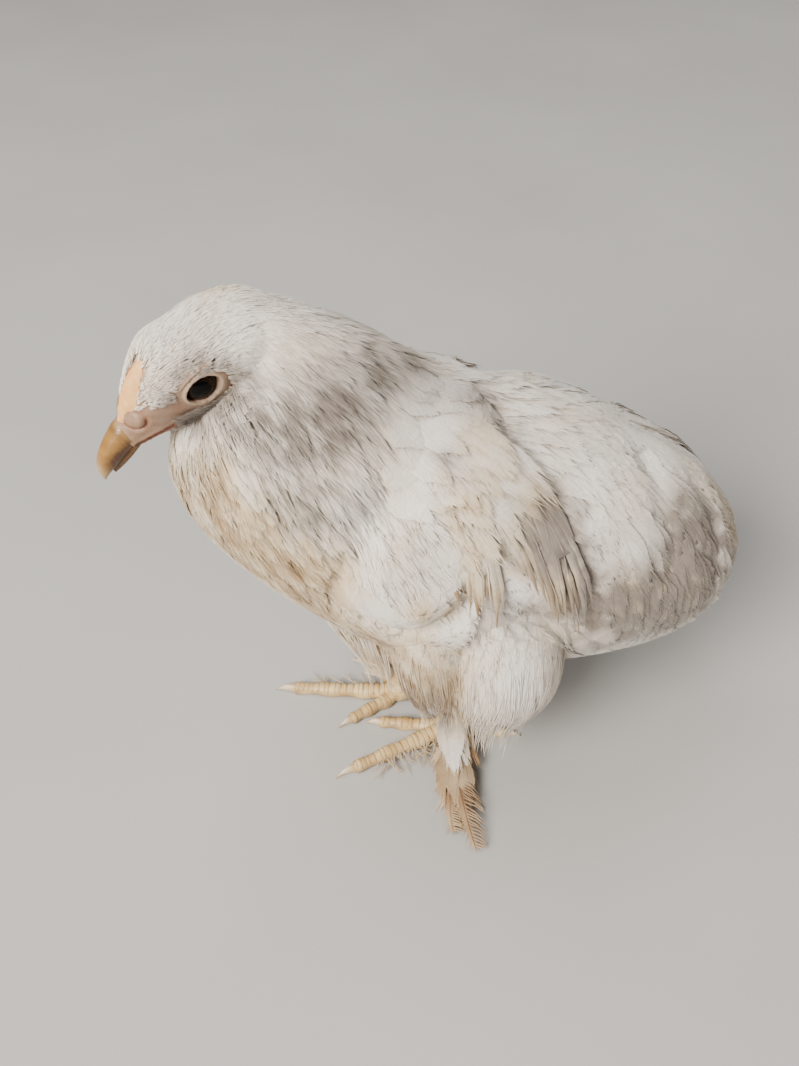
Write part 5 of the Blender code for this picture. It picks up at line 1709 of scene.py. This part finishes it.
def make_beaks(material):
    """Both halves of the beak, the upper one with a ridge, cutting edges and a pale worn tip."""
    for name, rows, power in (("beak_upper", UPPER_BEAK, 0.85), ("beak_lower", LOWER_BEAK, 0.9)):
        along, out, up, sine = oval_rings(rows, 60, 48, power)
        along_tip = smooth(along, 22, 35)
        if name == "beak_upper":
            up = up + 0.25 * bell(out / 0.8) * (sine > 0) * (1 - along_tip**3)
            up = up - 0.35 * (sine < -0.4) * bell((np.abs(out) - 2.4 * (1 - along_tip)) / 0.5)
        flake = 0.05 * np.sin(along * 5.0) * (1 - along_tip)
        rings = head_point(along, out * (1 + flake * 0.2), up)
        points, faces = tube(rings)
        a, _, rise = in_head(points)
        pale = smooth(a, 31.5, 35.5) * 0.8 + 0.35 * (1 - smooth(a, 22, 25))
        bottom = np.interp(a, UPPER_BEAK[:, 0], UPPER_BEAK[:, 1] - UPPER_BEAK[:, 4])
        grime = np.exp(-(((a - 28.0) / 3.6) ** 2 + ((rise - bottom - 2.2) / 2.0) ** 2)) * 1.6
        grime += 0.25 * bell((a - 24.0) / 1.2) + 0.12
        if name == "beak_lower":
            grime = 0.75 + 0 * a
        obj = add_mesh(f"{name}_horn", points, faces, material, {"pale": pale, "grime": np.clip(grime, 0, 1)})
        keep(obj, "beak", name)


def make_comb(material):
    """The low fleshy ridge of a young hen's comb, with its row of small rounded points."""
    share = np.linspace(0, 1, 70)
    along, lift, half, lean = np.moveaxis(spline(COMB, share), -1, 0)
    middle, wide, high, _ = head_ring(along)
    lift = lift * (1 + 0.09 * np.sin(share * 2 * math.pi * 6.5)) + 0.5
    turn = turns(28)
    c, s = np.cos(turn), np.sin(turn)
    rise = np.where(s > 0, lift[:, None] * np.maximum(s, 0) ** 1.8, 1.5 * s)
    out = half[:, None] * c * 1.1
    bowed = np.sqrt(1 - np.clip((lean[:, None] + out) / wide[:, None], -0.95, 0.95) ** 2)
    base = middle[:, None] + high[:, None] * bowed
    points = head_point(along[:, None] + 0 * out, lean[:, None] + out, base + rise - 0.15)
    ends = np.sin(np.clip(share, 0.02, 0.98) * math.pi)[:, None, None] ** 0.35
    middle = points.mean(1, keepdims=True)
    points = middle + (points - middle) * ends
    points = points + unit(points - middle) * (0.10 * ripple(points, 1.8, 7))[..., None]
    keep(add_mesh("comb_ridge", *tube(points), material), "skin", "comb")


def make_eyes(material):
    """Eyeballs, a little bulged in front, with the angle from the eye's axis for their rings of colour."""
    for side, sign in (("left", 1), ("right", -1)):
        eye = by_eye(sign)
        axis = unit(LEFT * sign + FORWARD * 0.12 + UP * 0.02)
        across = unit(np.cross(axis, UP))
        upward = np.cross(across, axis)
        angle = np.concatenate([np.linspace(0.02, 1.2, 50), np.linspace(1.25, math.pi - 0.03, 26)])
        turn = turns(72)
        radius = EYE_RADIUS + 0.10 * bell(angle / 0.7)
        round_axis = np.cos(turn)[:, None] * across + np.sin(turn)[:, None] * upward
        ring = np.sin(angle)[:, None, None] * round_axis
        points, faces = tube(eye + radius[:, None, None] * (ring + np.cos(angle)[:, None, None] * axis))
        iris = np.arccos(np.clip(unit(points - eye) @ axis, -1, 1))
        keep(add_mesh(f"eyeball_{side}", points, faces, material, {"iris": iris}), "eye", f"eye_{side}")


def limb(path, radii, sides, floor=None, scutes=1.9, fine=0.30):
    """A scaly limb: plates across its upper side, small scales on its flanks; returns mesh and creases."""
    length = np.concatenate([[0], np.cumsum(np.linalg.norm(np.diff(path, axis=0), axis=1))])
    count = max(int(length[-1] / fine), 8)
    share = np.linspace(0, 1, count)
    rows = np.concatenate([path, radii[:, None]], 1)
    at = np.interp(share * length[-1], length, np.linspace(0, 1, len(path)))
    rows = spline(rows, at)
    centre, radius = rows[:, :3], rows[:, 3]
    ahead = unit(np.gradient(centre, axis=0))
    side = np.cross(ahead, (0, 0, 1))
    side = unit(np.where(np.linalg.norm(side, axis=1, keepdims=True) < 0.2, (1.0, 0, 0), side))
    up = np.cross(side, ahead)
    turn = turns(sides)
    c, s = np.cos(turn)[None], np.sin(turn)[None]
    run = share[:, None] * length[-1]
    edges = np.cumsum(np.random.default_rng(len(path)).uniform(0.7, 1.35, 90)) * scutes
    plate = np.interp(run + 0.25 * s, edges, np.arange(90)) % 1.0
    upper = smooth(s, 0.0, 0.45)
    ridge = np.where(plate < 0.82, 0.08 + 0.08 * plate, -0.10)
    low = (run / (scutes * 0.7) + 0.5 * (np.round(turn * 5) % 2)) % 1.0
    pebble = 0.07 * np.sin(low * math.pi) - 0.03
    relief_at = upper * ridge + (1 - upper) * pebble
    reach = radius[:, None] + relief_at * np.minimum(radius[:, None] / 2.4, 1)
    points = centre[:, None] + reach[..., None] * (c[..., None] * side[:, None] + s[..., None] * up[:, None])
    if floor is not None:
        points[..., 2] = np.maximum(points[..., 2], floor)
    crease = upper * (plate > 0.80) + (1 - upper) * 0.35 * (low < 0.15) + 0 * c
    return tube(points), np.concatenate([crease.ravel(), [0.3, 0.3]])


def toe_path(foot, toe):
    """The middle of a toe and its radii, with its pads on the floor."""
    start = np.array((*foot["joint"], JOINT_HEIGHT))
    first, last = TOE_RADIUS[toe]
    end = np.array((*foot["toes"][toe], last - SOLE_DEPTH))
    f = np.linspace(0, 1, 24)
    path = start + (end - start) * f[:, None]
    radius = first + (last - first) * f
    pad = 1 + 0.12 * np.cos(f * 6 * math.pi)
    arch = (JOINT_HEIGHT - (radius - SOLE_DEPTH)) * np.maximum(0, 1 - 3.2 * f) ** 1.5
    path[:, 2] = radius - SOLE_DEPTH + arch
    return path, radius * np.where((f > 0) & (f < 1), pad, 1)


def make_foot(side, scale, claw):
    """The toes with their claws, the joint they start from, and the shank."""
    foot = FEET[side]
    points, faces, creases, start = [], [], [], 0
    for toe in foot["toes"]:
        path, radii = toe_path(foot, toe)
        path[:, 2] -= radii * 0.12
        radii = radii * 0.88
        (p, f), crease = limb(path, radii, 40, floor=0.0)
        points.append(p)
        faces.append(f + start)
        creases.append(crease)
        start += len(p)
        make_claw(toe, side, path, radii, claw)
    joint = np.array((*foot["joint"], JOINT_HEIGHT))
    p, f = ball_points(joint, FOOT_BALL * 0.94, 40, 24)
    p = p + unit(p - joint) * (0.12 * ripple(p, 1.9, 4))[:, None]
    points.append(p)
    faces.append(f + start)
    creases.append(smooth(-ripple(p, 1.9, 4), 0.3, 1.0) * 0.6)
    points = np.concatenate(points)
    grime = np.clip(0.35 + 0.4 * ripple(points, 7.0, 9), 0, 0.7) * (1 - smooth(points[:, 2], 0.5, 4.5))
    values = {"crease": np.concatenate(creases), "grime": grime}
    keep(add_mesh(f"toes_{side}", points, np.concatenate(faces), scale, values), "scale", f"foot_{side}")
    low, high = joint, np.array(foot["hock"])
    f = np.array((0.05, 0.3, 0.55, 0.8, 1.0))
    path = low + (high - low) * f[:, None]
    (p, faces), crease = limb(path, SHANK_RADIUS * np.array((1.1, 0.95, 0.92, 1.1, 1.25)), 44, scutes=2.2)
    values = {"crease": crease, "grime": 0 * crease}
    keep(add_mesh(f"shank_scales_{side}", p, faces, scale, values), "scale", f"shank_{side}")


def make_claw(toe, side, path, radii, material):
    """A claw that goes on from the end of its toe and bends down to the floor."""
    tip, before = path[-1], path[-2]
    ahead = unit(tip - before)
    length, radius = CLAW_LENGTH[toe], radii[-1] * 0.78
    f = np.linspace(-0.25, 1, 26)
    g = np.maximum(f, 0)
    places = tip + ahead * (0.3 + length * f)[:, None]
    sizes = radius * (1 - 0.90 * g**1.3)
    places[:, 2] = tip[2] * (1 - g) + 0.25 * radius * np.sin(math.pi * g) + (sizes + 0.1) * g
    side_way = unit(np.cross(ahead, (0, 0, 1)))
    turn = turns(24)
    ring = np.cos(turn)[:, None] * side_way * 0.82 + np.sin(turn)[:, None] * np.array((0, 0, 1.0))
    points = places[:, None] + sizes[:, None, None] * ring[None]
    points[..., 2] = np.maximum(points[..., 2], 0.0)
    along = np.concatenate([np.repeat(g, 24), [0, 1]])
    horn = add_mesh(f"claw_{toe}_{side}_horn", *tube(points), material, {"along": along})
    keep(horn, "claw", f"claw_{toe}_{side}")


# Small feathers along the outer toe: count, root along the toe, length, fan in degrees, half width.
FOOT_TIERS = ((5, 0.20, 15.0, 26.0, 1.9), (5, 0.45, 16.0, 24.0, 2.0), (5, 0.70, 16.0, 20.0, 2.0))
# Its long feathers: places along the toe, across it and up; half width, turn of the vane, how creamy, kind.
FOOT_LONG = (
    (((5.1, -0.9, 17), (9.2, -1.3, 15), (16.3, -1.0, 11.0), (25, -0.6, 7.6)), 4.8, 0.0, 0.0, "soft"),
    (((5.6, 0.4, 15), (10.5, 1.5, 12.5), (17, 2.4, 9.0), (23, 3.4, 6.0)), 3.6, 0.4, 0.1, "soft"),
    (((6.4, 2.4, 12), (12.9, 5.0, 8), (20.5, 7.8, 3.5)), 3.2, 0.5, 1.0, "ragged"),
    (((11, -0.5, 8), (19, -1.8, 8), (27, -3.2, 6.4), (36, -3.4, 4.0)), 5.6, -0.2, 0.62, "ragged"),
    (((13, 1.5, 7.4), (22, 1.6, 7.4), (30, 1.0, 6.0), (38, 0.6, 4.2)), 5.0, 0.2, 0.52, "soft"),
    (((24, -2.5, 5.8), (32, -3.0, 4.8), (38, -3.6, 3.4), (44, -3.0, 1.8)), 3.6, -0.3, 0.78, "comb"),
    (((24, -0.5, 6.6), (34, 0.6, 5.8), (43, 1.8, 4.0), (51, 3.6, 1.9)), 3.4, -0.1, 0.82, "comb"),
)


def comb_template(rng, size):
    """A narrow worn feather whose barbs stand apart along one side of its shaft."""
    def width(t, w):
        return (0.30 if w < 0 else 0.42) * outline(t, 0.5, 0.6, 0.7)

    pieces = [(barb((0, 0.3, 0.6, 0.85, 1.0), (0, 0, 0, 0, 0), 0.75, 0.5, size), 0.7)]
    pieces.append((leaf(size, np.linspace(0, 0.96, 9), width, 5, 0.15, 0.12), 0.5))
    for k in range(19):
        t0 = 0.04 + 0.88 * (k + 0.3 * rng.random()) / 19
        long = (0.30 - 0.16 * t0) * rng.uniform(0.85, 1.1)
        w1 = -(2.3 - 1.3 * t0) * rng.uniform(0.85, 1.1)
        t, w = (t0, t0 + long * 0.45, t0 + long), (0, w1 * 0.62, w1)
        pieces.append((barb(t, w, 0.34, 0.22, size, 0, -0.3 * rng.random()), rng.uniform(0.2, 0.9)))
        if k % 2:
            pieces.append((barb((t0, t0 + 0.12), (0.2, 0.9), 0.25, 0.15, size), rng.uniform(0.2, 0.9)))
    return gather(pieces)


def make_foot_feathers(side, material):
    """Small feathers along the outer toe, its long worn ones, and filaments between the toes."""
    rng = np.random.default_rng(SEED + (6 if side == "left" else 7))
    foot = FEET[side]
    start = np.array((*foot["joint"], JOINT_HEIGHT))
    end = np.array((*foot["toes"]["outer"], JOINT_HEIGHT))
    ahead = unit(end - start)
    across = np.array((-ahead[1], ahead[0], 0)) * (1 if side == "left" else -1)
    share = np.linalg.norm(end - start) / 32.4
    up = np.array((0, 0, 1.0))
    made, cream = [], []
    for tier, (count, root, reach, fan, half) in enumerate(FOOT_TIERS):
        f = np.linspace(-1, 1, count) + rng.normal(size=count) * 0.08
        base = start + (end - start) * root + across * 0.9 * f[:, None]
        turn = np.radians(fan * f)[:, None]
        heading = ahead * np.cos(turn) + across * np.sin(turn)
        g = np.linspace(0, 1, 7)
        long = reach * (1 - 0.14 * np.abs(f))
        here = base[:, None] + heading[:, None] * long[:, None, None] * g[None, :, None]
        here = here + across * (1.6 * f[:, None, None]) * (g**2)[None, :, None]
        bow = 1.2 * np.sin(math.pi * np.minimum(g * 1.25, 1))
        lift = 4.2 + bow - 3.0 * g + 0.5 * (1 - np.abs(f))[:, None]
        here[..., 2] = np.maximum(lift, 0.9)
        out = unit(np.tile(up, (count, 7, 1)) + across * (0.5 * f)[:, None, None])
        templates = [ragged_template(rng, (reach, half), 6, 0.45, 0.5, 0.6, 1.4, 0.15) for _ in range(3)]
        where = np.stack((np.full(count, 0.70 + 0.05 * tier), 0.62 + 0.02 * f), -1)
        made += grow(templates, here, out, np.full(count, half), where, rng, 0.35, 4.0)
    for number, (places, half, lean, creamy, kind) in enumerate(FOOT_LONG):
        places = np.array(places, float)
        here = spline(places, np.linspace(0, 1, 9))
        here = start + ahead * here[:, :1] * share + across * here[:, 1:2] + up * (here[:, 2:] - JOINT_HEIGHT)
        reach = np.linalg.norm(np.diff(here, axis=0), axis=1).sum()
        ways = unit(np.gradient(here, axis=0))
        level = across - ways * (ways @ across)[:, None]
        out = unit(np.cross(unit(level), ways))
        out = out * np.sign(out[:, 2:] + 1e-6)
        out = unit(out + across * lean)
        if kind == "soft":
            template = soft_template(rng, (reach, half), 30, 10, 3.0, 0.14, 0.5, 0.5, 5, 1.2, 4, 0.12, 0.7, 7)
        elif kind == "ragged":
            template = ragged_template(rng, (reach, half), 8, 0.45, 0.5, 0.62, 1.2, 0.2)
        else:
            template = comb_template(rng, (reach, half))
        if side == "right" and kind == "comb":
            template[0][:, 1] *= -1
            template[0][:, 3] *= -1
            template = (template[0], template[1][:, ::-1], template[2])
        where = np.array([(0.90, 0.40 + 0.03 * number)])
        piece = grow([template], here[None], out[None], np.array([half]), where, rng, 0.3, 0.0)
        cream.append((piece, creamy))
    # Thin loose filaments that curl out over the floor between the toes.
    count = 40 if side == "left" else 24
    toe_end = np.array((*foot["toes"]["middle"], JOINT_HEIGHT))
    f = rng.uniform(0.05, 0.75, count)
    base = start + (toe_end - start) * f[:, None]
    way = unit(toe_end - start)
    g = np.linspace(0, 1, 9)
    reach = rng.uniform(6, 14, count)
    turn = rng.uniform(-0.2, 0.6, count)[:, None] + rng.uniform(-1.9, 1.9, count)[:, None] * g
    step = np.cos(turn)[..., None] * ahead + np.sin(turn)[..., None] * way
    here = base[:, None] + np.cumsum(step, 1) * (reach / 9)[:, None, None]
    here[..., 2] = np.maximum(2.6 * (1 - g)[None] ** 0.8 + 0.35 + 0.5 * rng.random((count, 1)), 0.35)
    out = np.tile(up, (count, 9, 1))
    templates = [strand_template(rng, (10.0, 0.8), 3, 0.12, 0.7, 6, 0.3, 0.3) for _ in range(5)]
    where = np.stack((0.70 + 0.2 * f, np.full(count, 0.64)), -1)
    made += grow(templates, here, out, np.full(count, 0.6), where, rng, 0.0, 0.0)
    coat_pieces(f"foot_feathers_{side}", made, material, 0.36)
    for number, (piece, creamy) in enumerate(cream, 1):
        coat_pieces(f"foot_feather_{number}_{side}", piece, material, creamy)


def make_stage():
    """The floor, a square of six metres."""
    half = 3.0
    corners = [(-half, -half, 0), (half, -half, 0), (half, half, 0), (-half, half, 0)]
    mesh = bpy.data.meshes.new("floor")
    mesh.from_pydata(corners, [], [(0, 1, 2, 3)])
    mesh.materials.append(floor_material())
    floor = link(bpy.data.objects.new("floor", mesh))


# Lights: name, place in metres, side of the square, power, colour.
LIGHTS = (
    ("key", (0.98, -1.15, 1.20), 0.8, 86, (1.0, 0.965, 0.92)),
    ("top", (-0.2, -0.5, 1.7), 1.2, 16, (1.0, 0.99, 0.98)),
    ("back", (-0.9, 0.9, 1.0), 1.2, 5, (0.97, 0.98, 1.0)),
)
LIT_PLACE = (0, 0, 0.08)  # what they are turned to


def add_light(name, place, size, power, colour):
    data = bpy.data.lights.new(name, "AREA")
    data.shape = "RECTANGLE"
    data.size = data.size_y = size
    data.energy = power
    data.color = colour
    light = bpy.data.objects.new(name, data)
    light.location = place
    light.rotation_mode = "QUATERNION"
    light.rotation_quaternion = (Vector(LIT_PLACE) - Vector(place)).to_track_quat("-Z", "Y")
    link(light)


def make_lights():
    for row in LIGHTS:
        add_light(*row)
    world = bpy.data.worlds.new("studio")
    world.use_nodes = True
    background = world.node_tree.nodes["Background"]
    background.inputs["Color"].default_value = (0.97, 0.97, 1.0, 1)
    background.inputs["Strength"].default_value = 0.17
    bpy.context.scene.world = world


def make_camera():
    """The camera of the photograph."""
    data = bpy.data.cameras.new("camera")
    data.sensor_width = 36.0
    data.lens = data.sensor_width * FOCAL / PHOTO_HIGH
    data.clip_start, data.clip_end = 0.01, 20
    camera = bpy.data.objects.new("camera", data)
    azimuth, pitch = math.radians(CAMERA_AZIMUTH), math.radians(CAMERA_PITCH)
    flat = math.cos(pitch)
    back = Vector((math.sin(azimuth) * flat, -math.cos(azimuth) * flat, math.sin(pitch)))
    right = Vector((math.cos(azimuth), math.sin(azimuth), 0))
    up = back.cross(right)
    camera.matrix_world = Matrix((
        (right.x, up.x, back.x, 0), (right.y, up.y, back.y, 0), (right.z, up.z, back.z, 0), (0, 0, 0, 1)
    ))
    camera.location = (np.array(CAMERA_PLACE) - SHIFT) * MM
    bpy.context.scene.camera = link(camera)


def main():
    make_stage()
    make_lights()
    make_camera()
    coat = coat_material()
    fine, bristle = coat_material("fine_plumage", 0.93, 0.93), coat_material("bristle", 0.30)
    scale, claw = scale_material(), claw_material()
    make_skin(skin_material())
    make_beaks(horn_material())
    make_comb(comb_material())
    make_eyes(eye_material())
    for side, mirror in (("left", 1), ("right", -1)):
        make_foot(side, scale, claw)
        make_foot_feathers(side, coat)
        make_wing(side, mirror, coat)
        make_fluff(side, coat)
    make_tail(coat)
    make_body_coat(coat)
    make_scapulars(coat)
    make_nape_coat(coat)
    make_head_coat(fine, bristle)


main()
